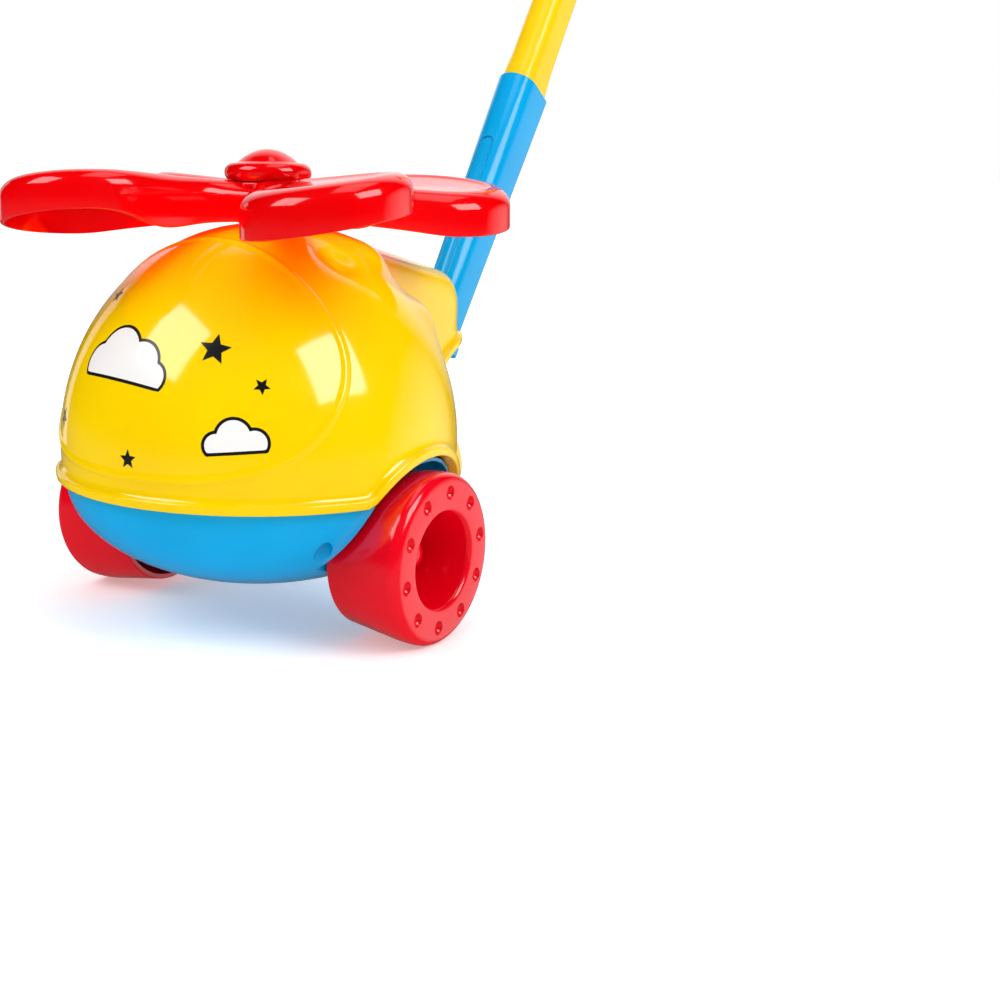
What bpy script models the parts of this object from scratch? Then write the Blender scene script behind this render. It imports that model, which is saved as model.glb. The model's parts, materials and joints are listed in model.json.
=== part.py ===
"""Toddler push toy: a round helicopter body on two wheels, with a rotor that turns as it rolls.

The wheels turn an axle, a crown gear on the axle turns the pinion on the mast, and the mast
turns the rotor. A two-piece tube with a cross grip plugs into the tail.

Lengths are in metres. The toy is modelled about the middle of its axle: X to the toy's left,
Y to its tail, Z up. At the end it is stood on the ground, centred over its own footprint.
"""
import math

import bmesh
import bpy
import numpy as np
from mathutils import Matrix, Vector

mm = 0.001
deg = math.pi / 180

# Clearances
gap = 0.3 * mm
arch_gap = 1.1 * mm
running_gap = 0.4 * mm
overrun = 3 * mm

# Body: the upper shell is an ellipsoid dome, the lower one a flatter bowl
wall = 2.2 * mm
dome_half_width = 87.3 * mm
dome_half_length = 91.9 * mm
dome_half_height = 98.0 * mm
dome_centre_y = -2.9 * mm
dome_centre_z = 41.9 * mm
seam_height = 27.1 * mm
bowl_floor = 20.6 * mm
bowl_depth = seam_height + bowl_floor
dome_top_z = dome_centre_z + dome_half_height
seam_step = 0.9 * mm
bead_proud = 3.0 * mm
bead_height = 4.2 * mm
bead_edge = 0.9 * mm
bead_fillet = 3.8 * mm
lip_height = 2.5 * mm
lip_width = 1.4 * mm

# Tail boom of the upper shell, keel of the lower one
tail_end_y = 148 * mm
tail_top_y = 82 * mm
tail_top_z = 124.6 * mm
tail_front_y = 14 * mm
tail_half_width = 16 * mm
tail_slope = 11.5 * deg
tail_taper = 5.2 * deg
tail_rounding = 16 * mm
tail_end_rounding = 20 * mm
tail_blend = 8 * mm
keel_steep = 62 * deg
keel_knee_y = 112 * mm
keel_knee_z = 22 * mm
keel_shallow = 39 * deg
keel_belly_y = 60 * mm
keel_belly_z = -9 * mm
keel_belly = 12 * deg
keel_rounding = 20 * mm
ramp_start_y = 50.7 * mm
ramp_slope = 0.59
ramp_blend = 8 * mm
ramp_top_z = 78 * mm

# Relief on the dome: each swelling or dent has a place, a reach and a height
front_bump = (33 * mm, 30 * mm, 128 * mm)
front_bump_height = 5.5 * mm
rear_bump = (52 * mm, 44 * mm, 100 * mm)
rear_bump_height = 3.0 * mm
saddle = (46 * mm, 39 * mm, 111 * mm)
saddle_height = -1.5 * mm
intake = (43 * mm, -4 * mm, 127 * mm)
intake_height = -4.0 * mm
recess = (33 * mm, 62 * mm, 108 * mm)
recess_height = -6.0 * mm
bump_reach = 12 * mm
dent_reach = 9 * mm
recess_reach = 14 * mm

# Canopy rib: its path in side view, over the top, down the sides and round the front
rib_radius = 1.3 * mm
rib_sunk = 0.5 * mm
rib_flatness = 1.4
rib_line_y = -35.5 * mm
rib_turn_z = 100 * mm
rib_bend_y = -36 * mm
rib_bend_z = 75 * mm
rib_low_y = -62 * mm
rib_low_z = 42 * mm
rib_front_beyond = 2.2 * mm
rib_front_y = dome_centre_y - dome_half_length - rib_front_beyond
rib_front_z = 39 * mm
rib_points = 44
rib_sides = 4

# Running gear
wheel_radius = 38.5 * mm
wheel_outer_x = 97.5 * mm
wheel_inner_x = 59.2 * mm
wheel_inner_radius = 34.3 * mm
wheel_crown_x = 90 * mm
wheel_corner = 5.0 * mm
wheel_wall = 2.4 * mm
wheel_face_wall = 3.2 * mm
wheel_hole_radius = 21.5 * mm
wheel_hole_lip = 2.6 * mm
wheel_cup_radius = 18.5 * mm
wheel_cup_x = 68 * mm
wheel_hub_radius = 8.0 * mm
wheel_boss_x = 75.5 * mm
dimple_circle_radius = 30 * mm
dimple_radius = 3.0 * mm
dimple_floor_radius = 1.8 * mm
dimple_depth = 1.9 * mm
dimple_count = 10
dimple_phase = 84 * deg
axle_radius = 2.5 * mm
axle_end_x = 81 * mm
cap_radius = 5.6 * mm
cap_length = 8.6 * mm
washer_radius = 6.5 * mm
washer_thickness = 1.2 * mm
well_radius = 41.0 * mm
well_wall = 1.6 * mm
well_inner_x = 57.4 * mm
well_y = 1.5 * mm
well_z = 1.0 * mm
axle_boss_radius = 6.5 * mm
axle_boss_length = 12 * mm

# Gear train: a crown gear on the axle and a pinion on the mast
crown_teeth = 24
pinion_teeth = 8
gear_face = 3.6 * mm
gear_room = 0.975 * mm
gear_rim_share = 0.5
gear_module = (bowl_floor - wall - gear_room - gear_face / 2) / (crown_teeth / 2 + gear_rim_share)
tooth_above = 0.76 * gear_module
tooth_below = 1.04 * gear_module
tooth_root_share = 0.44
tooth_tip_share = 0.2
crown_plate = 2.4 * mm
crown_hub_radius = 5.6 * mm
crown_hub_length = 8 * mm
pinion_hub_radius = 3.6 * mm
pinion_hub_top_z = 21 * mm

# Mast and its bracket
mast_radius = 2.5 * mm
mast_foot_z = 5.4 * mm
mast_top_rise = 12.1 * mm
mast_top_z = dome_top_z + mast_top_rise
mast_hole_radius = 5.8 * mm
bush_flange_radius = 8.6 * mm
bush_flange = 1.3 * mm
bush_length = 9 * mm
bracket_half_width = 3.4 * mm
bracket_pad_radius = 5.4 * mm
bracket_pad_rise = 0.6 * mm
bracket_plate = 2.6 * mm
bracket_leg = 3.0 * mm
bracket_half_span = 27 * mm
bracket_top_z = 28.4 * mm
bracket_low_z = 7 * mm
bracket_foot_z = -6.5 * mm
bracket_foot_length = 12 * mm
bracket_screw_out = 6 * mm
bracket_screw_y = bracket_half_span + bracket_screw_out

# Rotor
rotor_phase = 55 * deg
rotor_radius = 115.8 * mm
blade_count = 4
blade_tip_radius = 34.5 * mm
blade_root_half_width = 13.5 * mm
blade_root = 10 * mm
blade_widen_from = 24 * mm
blade_widen_to = 78 * mm
blade_top_rise = 18.3 * mm
blade_top_z = dome_top_z + blade_top_rise
blade_clearance = 1.3 * mm
blade_bottom_z = dome_top_z + blade_clearance
blade_top_pitch = 3.5 * deg
blade_bottom_pitch = 12.2 * deg
blade_level_from = 12 * mm
blade_level_to = 36 * mm
blade_corner = 5.5 * mm
blade_wall = 2.0 * mm
blade_dish_inset = 7.5 * mm
blade_dish_slope = 1.5 * mm
blade_dish_depth = 1.0 * mm
blade_ceiling = 3.8 * mm
hub_radius = 17.6 * mm
hub_clearance = 0.6 * mm
hub_bottom_z = dome_top_z + hub_clearance
hub_top_rise = 17.6 * mm
hub_top_z = dome_top_z + hub_top_rise
hub_tube_radius = 6.0 * mm
hub_tube_rise = 3.1 * mm
hub_tube_bottom_z = dome_top_z + hub_tube_rise
rotor_cap_radius = 19.2 * mm
rotor_cap_ring_rise = 5.7 * mm
rotor_cap_ring_z = hub_top_z + rotor_cap_ring_rise
rotor_cap_dome_rise = 8.0 * mm
rotor_cap_top_z = rotor_cap_ring_z + rotor_cap_dome_rise
rotor_cap_dome_radius = 12.8 * mm

# Fasteners
screw_head_radius = 3.4 * mm
screw_head_height = 2.2 * mm
screw_recess_depth = 1.2 * mm
screw_recess_width = 2.2 * mm
screw_radius = 1.4 * mm
screw_length = 18 * mm
short_screw_length = 9 * mm
boss_radius = 4.6 * mm
recess_radius = 4.0 * mm
front_screw_x = 66 * mm
front_screw_y = -46 * mm
rear_screw_x = 40 * mm
rear_screw_y = 62 * mm
boss_joint_drop = 0.1 * mm
boss_joint_z = seam_height - boss_joint_drop
screw_seat_drop = 8.5 * mm
screw_seat_z = boss_joint_z - screw_seat_drop

# Handle: tubes of a D-shaped section, round to the front and flat to the rear
handle_seat_y = 136.3 * mm
handle_seat_z = 76 * mm
handle_tilt = 32.8 * deg
tube_wall = 2.2 * mm
tube_corner = 3.0 * mm
tube_shoulder = 3.0 * mm
lower_tube_length = 160 * mm
lower_tube_foot_width = 18.5 * mm
lower_tube_foot_depth = 23.5 * mm
lower_tube_mouth_width = 22.5 * mm
lower_tube_mouth_depth = 29 * mm
neck_radius = 6.0 * mm
neck_length = 32 * mm
sleeve_wall = 2.0 * mm
sleeve_seat = 1.3 * mm
deck_margin = 2.0 * mm
deck_thickness = 2.5 * mm
deck_collar = 2.4 * mm
slot_top = 119 * mm
slot_length = 84 * mm
slot_half_width = 3.8 * mm
slot_groove = 1.2 * mm
slot_depth = 1.3 * mm
upper_tube_insert = 34 * mm
upper_tube_mouth_width = 19.8 * mm
upper_tube_mouth_depth = 25.8 * mm
upper_tube_neck = 22 * mm
upper_tube_width = 19.0 * mm
upper_tube_depth = 23.8 * mm
upper_tube_length = 213 * mm
upper_tube_top_width = 17.6 * mm
upper_tube_top_depth = 22 * mm
grip_half_length = 56 * mm
grip_radius = 13.0 * mm
grip_waist = 1.5 * mm
grip_socket_depth = 30 * mm
grip_socket_wall = 2.4 * mm
grip_screw_from_end = 22 * mm

# How the body's surface is found: rays march in from outside, and columns are read from them
march_steps = 100
march_share = 0.8
march_reach = 3 * dome_half_length
probe = 0.05 * mm
column_samples = 400
seam_samples = 1441
seam_passes = 4
rib_samples = 600
length_share = 0.62
upper_sweep = (-30 * deg, 89 * deg)
lower_sweep = (60 * deg, -89.9 * deg)
steepest_widening = 1.6

# Fineness of the meshes
shell_columns = 48
turned_steps = 30
well_steps = 40
wheel_steps = 32
grip_steps = 20
small_steps = 14
fine_steps = 10
dimple_steps = 8

# Shares of a shell column's length at which its rows stand
upper_shares = (0.08, 0.17, 0.26, 0.34, 0.42, 0.5, 0.58, 0.66, 0.74, 0.82, 0.91, 1.0)
upper_inner_shares = (0.25, 0.5, 0.75, 1.0)
lower_shares = (0.1, 0.24, 0.38, 0.52, 0.66, 0.8, 0.94)
grip_shares = (-0.6, 0, 0.6)
lower_inner_shares = (0.25, 0.5, 0.75, 0.94)


def material(name, colour, roughness, metallic=0.0):
    made = bpy.data.materials.new(name)
    made.use_nodes = True
    shader = made.node_tree.nodes["Principled BSDF"]
    shader.inputs["Base Color"].default_value = (*colour, 1.0)
    shader.inputs["Roughness"].default_value = roughness
    shader.inputs["Metallic"].default_value = metallic
    made.diffuse_color = (*colour, 1.0)
    return made


def add_object(name, mesh):
    made = bpy.data.objects.new(name, mesh)
    bpy.context.scene.collection.objects.link(made)
    return made


def mesh_from(bm):
    bmesh.ops.recalc_face_normals(bm, faces=bm.faces[:])
    mesh = bpy.data.meshes.new("shape")
    bm.to_mesh(mesh)
    bm.free()
    return mesh


def apply_boolean(target, tool, operation):
    """Join, cut or intersect target with tool, and remove the tool."""
    modifier = target.modifiers.new(operation.lower(), "BOOLEAN")
    modifier.operation = operation
    modifier.solver = "EXACT"
    modifier.object = tool
    graph = bpy.context.evaluated_depsgraph_get()
    result = bpy.data.meshes.new_from_object(target.evaluated_get(graph))
    target.modifiers.remove(modifier)
    target.data = result
    bpy.data.objects.remove(tool)
    return target


def join(target, *tools):
    for tool in tools:
        apply_boolean(target, tool, "UNION")
    return target


def cut(target, *tools):
    for tool in tools:
        apply_boolean(target, tool, "DIFFERENCE")
    return target


def trim(target, tool):
    return apply_boolean(target, tool, "INTERSECT")


def finish_object(target, name, finish, parent, smooth_angle=35 * deg):
    """Name a piece, give it its material and smooth shading, and hang it on its parent."""
    target.name = name
    target.data.name = name
    target.data.materials.clear()
    target.data.materials.append(finish)
    target.data.shade_smooth()
    target.data.set_sharp_from_angle(angle=smooth_angle)
    target.parent = parent
    return target


def gather(name, pieces):
    """Put separate pieces of one kind into one object."""
    bm = bmesh.new()
    for piece in pieces:
        bm.from_mesh(piece.data)
        bpy.data.objects.remove(piece)
    return add_object(name, mesh_from(bm))


def rings_solid(rings):
    """A closed solid skinned over rings of points, capped at both ends."""
    bm = bmesh.new()
    rows = [[bm.verts.new(point) for point in ring] for ring in rings]
    count = len(rows[0])
    for low, high in zip(rows, rows[1:]):
        for i in range(count):
            j = (i + 1) % count
            bm.faces.new((low[i], low[j], high[j], high[i]))
    bm.faces.new(list(reversed(rows[0])))
    bm.faces.new(rows[-1])
    return add_object("solid", mesh_from(bm))


def prism(outline, place, low, high):
    """A solid between two heights over a plane outline, each corner placed by a function."""
    return rings_solid([[place(a, b, height) for a, b in outline] for height in (low, high)])


def turned(profile, steps=turned_steps, axis="Z"):
    """Turn a profile of (radius, height) points about an axis; it may end on the axis."""
    bm = bmesh.new()
    points = [bm.verts.new((radius, 0, height)) for radius, height in profile]
    edges = [bm.edges.new(pair) for pair in zip(points, points[1:])]
    if profile[0][0] > 0 or profile[-1][0] > 0:
        edges.append(bm.edges.new((points[-1], points[0])))
    bmesh.ops.spin(bm, geom=points + edges, cent=(0, 0, 0), axis=(0, 0, 1),
                   angle=2 * math.pi, steps=steps, use_merge=True)
    bmesh.ops.remove_doubles(bm, verts=bm.verts[:], dist=0.01 * mm)
    turn = {"Z": Matrix(), "X": Matrix.Rotation(math.pi / 2, 4, "Y"),
            "-X": Matrix.Rotation(-math.pi / 2, 4, "Y")}[axis]
    bmesh.ops.transform(bm, matrix=turn, verts=bm.verts[:])
    return add_object("turned", mesh_from(bm))


def bar(radius, start, end, steps=small_steps, end_radius=None):
    """A straight round bar between two points, tapered if an end radius is given."""
    start, end = Vector(start), Vector(end)
    along = end - start
    turn = Vector((0, 0, 1)).rotation_difference(along.normalized())
    place = Matrix.Translation((start + end) / 2) @ turn.to_matrix().to_4x4()
    bm = bmesh.new()
    bmesh.ops.create_cone(bm, cap_ends=True, segments=steps, radius1=radius,
                          radius2=radius if end_radius is None else end_radius,
                          depth=along.length, matrix=place)
    return add_object("bar", mesh_from(bm))


def block(low, high):
    """A box between two corners."""
    size = Vector(high) - Vector(low)
    place = Matrix.Translation((Vector(high) + Vector(low)) / 2) @ Matrix.Diagonal((*size, 1))
    bm = bmesh.new()
    bmesh.ops.create_cube(bm, size=1, matrix=place)
    return add_object("block", mesh_from(bm))


def arc(centre, radius, start, end, steps):
    """Points of an arc in a profile plane, both ends included."""
    angles = [start + (end - start) * i / steps for i in range(steps + 1)]
    return [(centre[0] + radius * math.cos(a), centre[1] + radius * math.sin(a)) for a in angles]


def screw(seat, along, length=screw_length):
    """A screw with a square drive: its head ends at the seat, its shank runs on."""
    top = -screw_head_height
    made = turned([(0, top), (screw_head_radius, top), (screw_head_radius, 0), (screw_radius, 0),
                   (screw_radius, length - screw_radius), (0, length)], steps=fine_steps)
    half = screw_recess_width / 2
    cut(made, block((-half, -half, top - overrun), (half, half, top + screw_recess_depth)))
    turn = Vector((0, 0, 1)).rotation_difference(Vector(along).normalized())
    made.data.transform(Matrix.Translation(Vector(seat)) @ turn.to_matrix().to_4x4())
    return made


# Distances to the body's outer surfaces, over arrays of points

def soft_max(a, b, blend):
    share = np.maximum(blend - np.abs(a - b), 0) / blend
    return np.maximum(a, b) + share * share * blend / 4


def soft_min(a, b, blend):
    return -soft_max(-a, -b, blend)


def ellipsoid_distance(points, centre, halves):
    scaled = (points - np.array(centre)) / np.array(halves)
    near = np.linalg.norm(scaled, axis=-1)
    slope = np.linalg.norm(scaled / np.array(halves), axis=-1)
    return near * (near - 1) / np.maximum(slope, 1 * mm)


def dome_distance(points):
    return ellipsoid_distance(points, (0, dome_centre_y, dome_centre_z),
                              (dome_half_width, dome_half_length, dome_half_height))


def bowl_distance(points):
    share = math.sqrt(1 - ((seam_height - dome_centre_z) / dome_half_height) ** 2)
    bowl = ellipsoid_distance(points, (0, dome_centre_y, seam_height),
                              (dome_half_width * share - seam_step,
                               dome_half_length * share - seam_step, bowl_depth))
    return np.where(points[..., 2] > seam_height, dome_distance(points) + seam_step, bowl)


def tail_sides(points):
    x, y = np.abs(points[..., 0]), points[..., 1]
    return (x - tail_half_width) * math.cos(tail_taper) + (y - tail_end_y) * math.sin(tail_taper)


def boom_distance(points):
    y, z = points[..., 1], points[..., 2]
    top = (z - tail_top_z) * math.cos(tail_slope) + (y - tail_top_y) * math.sin(tail_slope)
    shape = soft_max(top, tail_sides(points), tail_rounding)
    shape = soft_max(shape, y - tail_end_y, tail_end_rounding)
    return soft_max(shape, tail_front_y - y, tail_rounding)


def keel_distance(points):
    y, z = points[..., 1], points[..., 2]
    steep = (y - tail_end_y) * math.sin(keel_steep) - (z - ramp_top_z) * math.cos(keel_steep)
    shallow = (y - keel_knee_y) * math.sin(keel_shallow) - (z - keel_knee_z) * math.cos(keel_shallow)
    belly = (y - keel_belly_y) * math.sin(keel_belly) - (z - keel_belly_z) * math.cos(keel_belly)
    shape = soft_max(np.maximum(steep, y - tail_end_y), shallow, keel_rounding * 2)
    shape = soft_max(shape, belly, keel_rounding)
    shape = soft_max(shape, tail_sides(points), keel_rounding)
    return soft_max(shape, tail_front_y - y, tail_rounding) + seam_step


def relief(points):
    total = 0
    for place, height, reach in ((front_bump, front_bump_height, bump_reach),
                                 (rear_bump, rear_bump_height, bump_reach),
                                 (saddle, saddle_height, dent_reach),
                                 (intake, intake_height, dent_reach),
                                 (recess, recess_height, recess_reach)):
        squared = ((np.abs(points[..., 0]) - place[0]) ** 2 + (points[..., 1] - place[1]) ** 2
                   + (points[..., 2] - place[2]) ** 2)
        total = total + height * np.exp(-squared / reach ** 2)
    return total


def upper_distance(points):
    return soft_min(dome_distance(points) - relief(points), boom_distance(points), tail_blend)


def lower_distance(points):
    return soft_min(bowl_distance(points), keel_distance(points), tail_blend)


def outward(distance, points, level=False):
    """Unit normals of the surface that a distance describes, kept level if asked."""
    slopes = []
    for axis in range(3):
        shift = np.zeros(3)
        shift[axis] = probe
        slopes.append(distance(points + shift) - distance(points - shift))
    normal = np.stack(slopes, axis=-1)
    if level:
        normal[..., 2] = 0
    return normal / np.linalg.norm(normal, axis=-1, keepdims=True)


def cast(distance, centre, directions):
    """Where rays from a centre leave the body, found by marching inwards from outside."""
    reach = np.full(directions.shape[:-1], march_reach)
    for _ in range(march_steps):
        reach = reach - march_share * distance(centre + directions * reach[..., None])
    return centre + directions * reach[..., None]


def seam(y):
    """Height of the parting line between the shells, away from the wheel arches."""
    rise = soft_max(np.full_like(y, seam_height), seam_height + ramp_slope * (y - ramp_start_y),
                    ramp_blend)
    return soft_min(rise, np.full_like(y, ramp_top_z), ramp_blend)


def arched_seam(y):
    """The upper shell's rim: the seam, lifted over the wheels."""
    radius = well_radius + well_wall + arch_gap
    inside = np.maximum(radius ** 2 - (y - well_y) ** 2, 0)
    arch = np.where(inside > 0, well_z + np.sqrt(inside), seam_height - radius)
    return soft_max(seam(y), arch, ramp_blend * 0.5)


def lower_rim(y):
    return seam(y) - gap


def trimming_rim(y):
    return np.full_like(y, seam_height - bead_height)


def raised_rim(y):
    return seam(y) + well_radius * 0.5


def column_angles():
    """Directions in plan of the shells' columns, closer together where the rim turns."""
    centre = np.array((0, 0, seam_height))
    fine = np.linspace(0, 2 * math.pi, seam_samples) + math.pi / 2
    flat = np.stack([np.cos(fine), np.sin(fine), np.zeros_like(fine)], axis=-1)
    points = cast(upper_distance, centre, flat)
    for _ in range(seam_passes):
        rise = seam(points[:, 1]) - centre[2]
        run = np.linalg.norm(points[:, :2], axis=-1)
        tilted = np.stack([flat[:, 0] * run, flat[:, 1] * run, rise], axis=-1)
        points = cast(upper_distance, centre, tilted / np.linalg.norm(tilted, axis=-1, keepdims=True))
    steps = np.diff(points[:, :2], axis=0)
    length = np.linalg.norm(steps, axis=-1)
    heading = np.unwrap(np.arctan2(steps[:, 1], steps[:, 0]))
    turning = np.abs(np.diff(heading, append=heading[:1] + 2 * math.pi))
    turning = (turning + np.roll(turning, 1)) / 2
    measure = length_share * length / length.sum() + (1 - length_share) * turning / turning.sum()
    passed = np.concatenate([[0], np.cumsum(measure)])
    return np.interp(np.arange(shell_columns) / shell_columns, passed / passed[-1], fine)


def column_points(distance, centre, angle, rim, downwards):
    """Fine points up one column from the rim to the top, or down it to the bottom."""
    tilts = np.linspace(*(lower_sweep if downwards else upper_sweep), column_samples)
    directions = np.stack([np.cos(tilts) * math.cos(angle), np.cos(tilts) * math.sin(angle),
                           np.sin(tilts)], axis=-1)
    points = cast(distance, centre, directions)
    side = points[:, 2] - rim(points[:, 1])
    if downwards:
        side = -side
    last = np.nonzero(side < 0)[0][-1]
    share = side[last] / (side[last] - side[last + 1])
    start = points[last] + share * (points[last + 1] - points[last])
    return np.vstack([start[None], points[last + 1:]])


def upper_column(angle, rim):
    """One column of the dome from its rim to the edge of the mast hole."""
    centre = np.array((0, 0, dome_centre_z))
    points = column_points(upper_distance, centre, angle, rim, False)
    run = np.linalg.norm(points[:, :2], axis=-1)
    past = np.nonzero(run < mast_hole_radius)[0][0]
    share = (run[past - 1] - mast_hole_radius) / (run[past - 1] - run[past])
    edge = points[past - 1] + share * (points[past] - points[past - 1])
    return np.vstack([points[:past], edge[None]])


def lower_column(angle, rim):
    """One column of the bowl and keel from the rim to the bottom."""
    return column_points(lower_distance, np.array((0, 0, seam_height)), angle, rim, True)


def column_length(points):
    return np.linalg.norm(np.diff(points, axis=0), axis=-1).sum()


def along_column(points, wanted):
    """Points at given distances along a column of points."""
    steps = np.linalg.norm(np.diff(points, axis=0), axis=-1)
    length = np.concatenate([[0], np.cumsum(steps)])
    return np.stack([np.interp(wanted, length, points[:, axis]) for axis in range(3)], axis=-1)


def add_columns(bm, grid, flip=False):
    """Skin a grid of points whose columns go once round the body."""
    columns = [[bm.verts.new(point) for point in column] for column in grid]
    for left, right in zip(columns, columns[1:] + columns[:1]):
        for k in range(len(left) - 1):
            face = (left[k], right[k], right[k + 1], left[k + 1])
            bm.faces.new(tuple(reversed(face)) if flip else face)
    return columns


def bridge_ends(bm, first, second, row):
    """Join two skins of equal columns along one of their end rows."""
    for i in range(len(first)):
        j = (i + 1) % len(first)
        bm.faces.new((first[i][row], first[j][row], second[j][row], second[i][row]))


def closed_body(grid):
    """A solid from columns that go from a rim to a far end, closed across the rim in strips."""
    bm = bmesh.new()
    columns = add_columns(bm, grid)
    bm.faces.new([column[-1] for column in columns])
    count = len(columns)
    for i in range(count // 2):
        corners = [columns[n % count][0] for n in (i, i + 1, count - i - 1, count - i)]
        bm.faces.new([corner for n, corner in enumerate(corners) if corner not in corners[:n]])
    return add_object("body", mesh_from(bm))


def upper_skin(angles):
    """The upper shell: dome, boom and bead in one skin, open at the mast hole."""
    columns = [upper_column(angle, arched_seam) for angle in angles]
    starts = np.array([column[0] for column in columns])
    ahead, behind = np.roll(starts, -1, axis=0), np.roll(starts, 1, axis=0)
    run = np.linalg.norm((ahead - behind)[:, :2], axis=-1)
    climb = np.abs(ahead[:, 2] - behind[:, 2]) / run
    outer, inner = [], []
    for column, widen in zip(columns, np.minimum(np.sqrt(1 + climb ** 2), steepest_widening)):
        total = column_length(column)
        rise = (bead_height + bead_fillet) * widen
        rows = [(0, bead_proud - bead_edge), (bead_edge, bead_proud),
                (bead_height - bead_edge, bead_proud), (bead_height, bead_proud - bead_edge),
                (bead_height + bead_fillet, 0)]
        wanted = [height * widen for height, _ in rows]
        wanted += [rise + (total - rise) * share for share in upper_shares]
        points = along_column(column, wanted)
        normals = outward(upper_distance, points)
        normals[:4] = outward(upper_distance, points[:4], level=True)
        proud = np.array([out for _, out in rows] + [0] * len(upper_shares))
        outer.append(points + normals * proud[:, None])
        wanted = [0, rise] + [rise + (total - rise) * share for share in upper_inner_shares]
        points = along_column(column, wanted)
        normals = outward(upper_distance, points)
        normals[:1] = outward(upper_distance, points[:1], level=True)
        normals[-1] = (0, 0, 1)
        inner.append(points - normals * wall)
    bm = bmesh.new()
    outer_columns = add_columns(bm, outer)
    inner_columns = add_columns(bm, inner, flip=True)
    bridge_ends(bm, outer_columns, inner_columns, 0)
    bridge_ends(bm, outer_columns, inner_columns, -1)
    return add_object("upper", mesh_from(bm))


def upper_body(angles, inset):
    """The upper shell's outer form as a solid that reaches below the seam."""
    grid = []
    for angle in angles:
        column = upper_column(angle, trimming_rim)
        points = along_column(column, [column_length(column) * share for share in (0, *upper_shares)])
        grid.append(points - outward(upper_distance, points) * inset)
    return closed_body(grid)


def lower_skin(angles):
    """The lower shell: bowl and keel, with a lip that stands inside the upper shell's wall."""
    outer, inner = [], []
    lip_out = wall - seam_step + gap
    for angle in angles:
        column = lower_column(angle, lower_rim)
        total = column_length(column)
        outer.append(along_column(column, [0] + [total * share for share in lower_shares]))
        rim = column[0]
        away = outward(lower_distance, column[:1], level=True)[0]
        up = np.array((0, 0, 1))
        lip = [rim - away * lip_out, rim - away * lip_out + up * (lip_height + gap),
               rim - away * (lip_out + lip_width) + up * (lip_height + gap),
               rim - away * (lip_out + lip_width) - up * lip_width]
        points = along_column(column, [lip_height * 2] + [total * share for share in lower_inner_shares])
        points = points - outward(lower_distance, points) * wall
        inner.append(np.vstack([lip, points]))
    bm = bmesh.new()
    outer_columns = add_columns(bm, outer, flip=True)
    inner_columns = add_columns(bm, inner)
    bridge_ends(bm, outer_columns, inner_columns, 0)
    bm.faces.new([column[-1] for column in outer_columns])
    bm.faces.new([column[-1] for column in reversed(inner_columns)])
    return add_object("lower", mesh_from(bm))


def lower_body(angles, inset):
    """The lower shell's outer form as a solid that reaches above the seam."""
    grid = []
    for angle in angles:
        column = lower_column(angle, raised_rim)
        points = along_column(column, [column_length(column) * share for share in (0, *lower_shares)])
        grid.append(points - outward(lower_distance, points) * inset)
    return closed_body(grid)


def rib_path():
    """The canopy rib's closed path on the dome, evenly spaced."""
    share = np.linspace(0, 1, rib_samples)
    over = (rib_line_y - dome_centre_y) / dome_half_length
    top_z = dome_centre_z + dome_half_height * math.sqrt(1 - over ** 2)
    straight = np.stack([np.full_like(share, rib_line_y), top_z + (rib_turn_z - top_z) * share ** 2])
    handles = ((rib_line_y, rib_turn_z), (rib_bend_y, rib_bend_z), (rib_low_y, rib_low_z),
               (rib_front_y, rib_front_z))
    weights = ((1 - share) ** 3, 3 * share * (1 - share) ** 2, 3 * share ** 2 * (1 - share), share ** 3)
    bend = np.stack([sum(w * h[axis] for w, h in zip(weights, handles)) for axis in range(2)])
    y, z = np.concatenate([straight, bend], axis=1)
    left = 1 - ((y - dome_centre_y) / dome_half_length) ** 2 - ((z - dome_centre_z) / dome_half_height) ** 2
    end = np.nonzero(left[1:] <= 0)[0][0] + 1
    side = np.stack([dome_half_width * np.sqrt(np.maximum(left[:end], 0)), y[:end], z[:end]], axis=-1)
    side[0, 0] = 0
    tip = side[-1] * np.array((0, 1, 1))
    side = np.vstack([side, tip[None]])
    loop = np.vstack([side, (side * np.array((-1, 1, 1)))[-2:0:-1], side[:1]])
    total = column_length(loop)
    return along_column(loop, [total * i / rib_points for i in range(rib_points)])


def canopy_rib():
    """A thin tube that stands just proud of the dome along the rib's path."""
    path = rib_path()
    normals = outward(dome_distance, path)
    along = np.roll(path, -1, axis=0) - np.roll(path, 1, axis=0)
    along /= np.linalg.norm(along, axis=-1, keepdims=True)
    across = np.cross(along, normals)
    across /= np.linalg.norm(across, axis=-1, keepdims=True)
    bm = bmesh.new()
    rows = []
    for place, up, side in zip(path, normals, across):
        ring = []
        for i in range(rib_sides):
            angle = 2 * math.pi * i / rib_sides + math.pi / 2
            offset = up * math.sin(angle) + side * math.cos(angle) * rib_flatness
            ring.append(bm.verts.new(place - up * rib_sunk + offset * rib_radius))
        rows.append(ring)
    for low, high in zip(rows, rows[1:] + rows[:1]):
        for i in range(rib_sides):
            j = (i + 1) % rib_sides
            bm.faces.new((low[i], low[j], high[j], high[i]))
    return add_object("rib", mesh_from(bm))


# Handle: places along its axis are measured from the seat on the tail

handle_seat = Vector((0, handle_seat_y, handle_seat_z))
handle_turn = Matrix.Rotation(-handle_tilt, 3, "X")


def on_handle(x, y, distance):
    """A point beside the handle's axis: X across, Y to the rear, and distance along it."""
    return handle_seat + handle_turn @ Vector((x, y, distance))


def d_outline(width, depth, corner=tube_corner):
    """A D-shaped section: a half circle to the front, flat sides and two rear corners."""
    radius, rear = width / 2, depth / 2
    outline = arc((0, radius - rear), radius, -math.pi, 0, fine_steps)
    outline += arc((radius - corner, rear - corner), corner, 0, math.pi / 2, 2)
    outline += arc((corner - radius, rear - corner), corner, math.pi / 2, math.pi, 2)
    return outline


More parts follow.
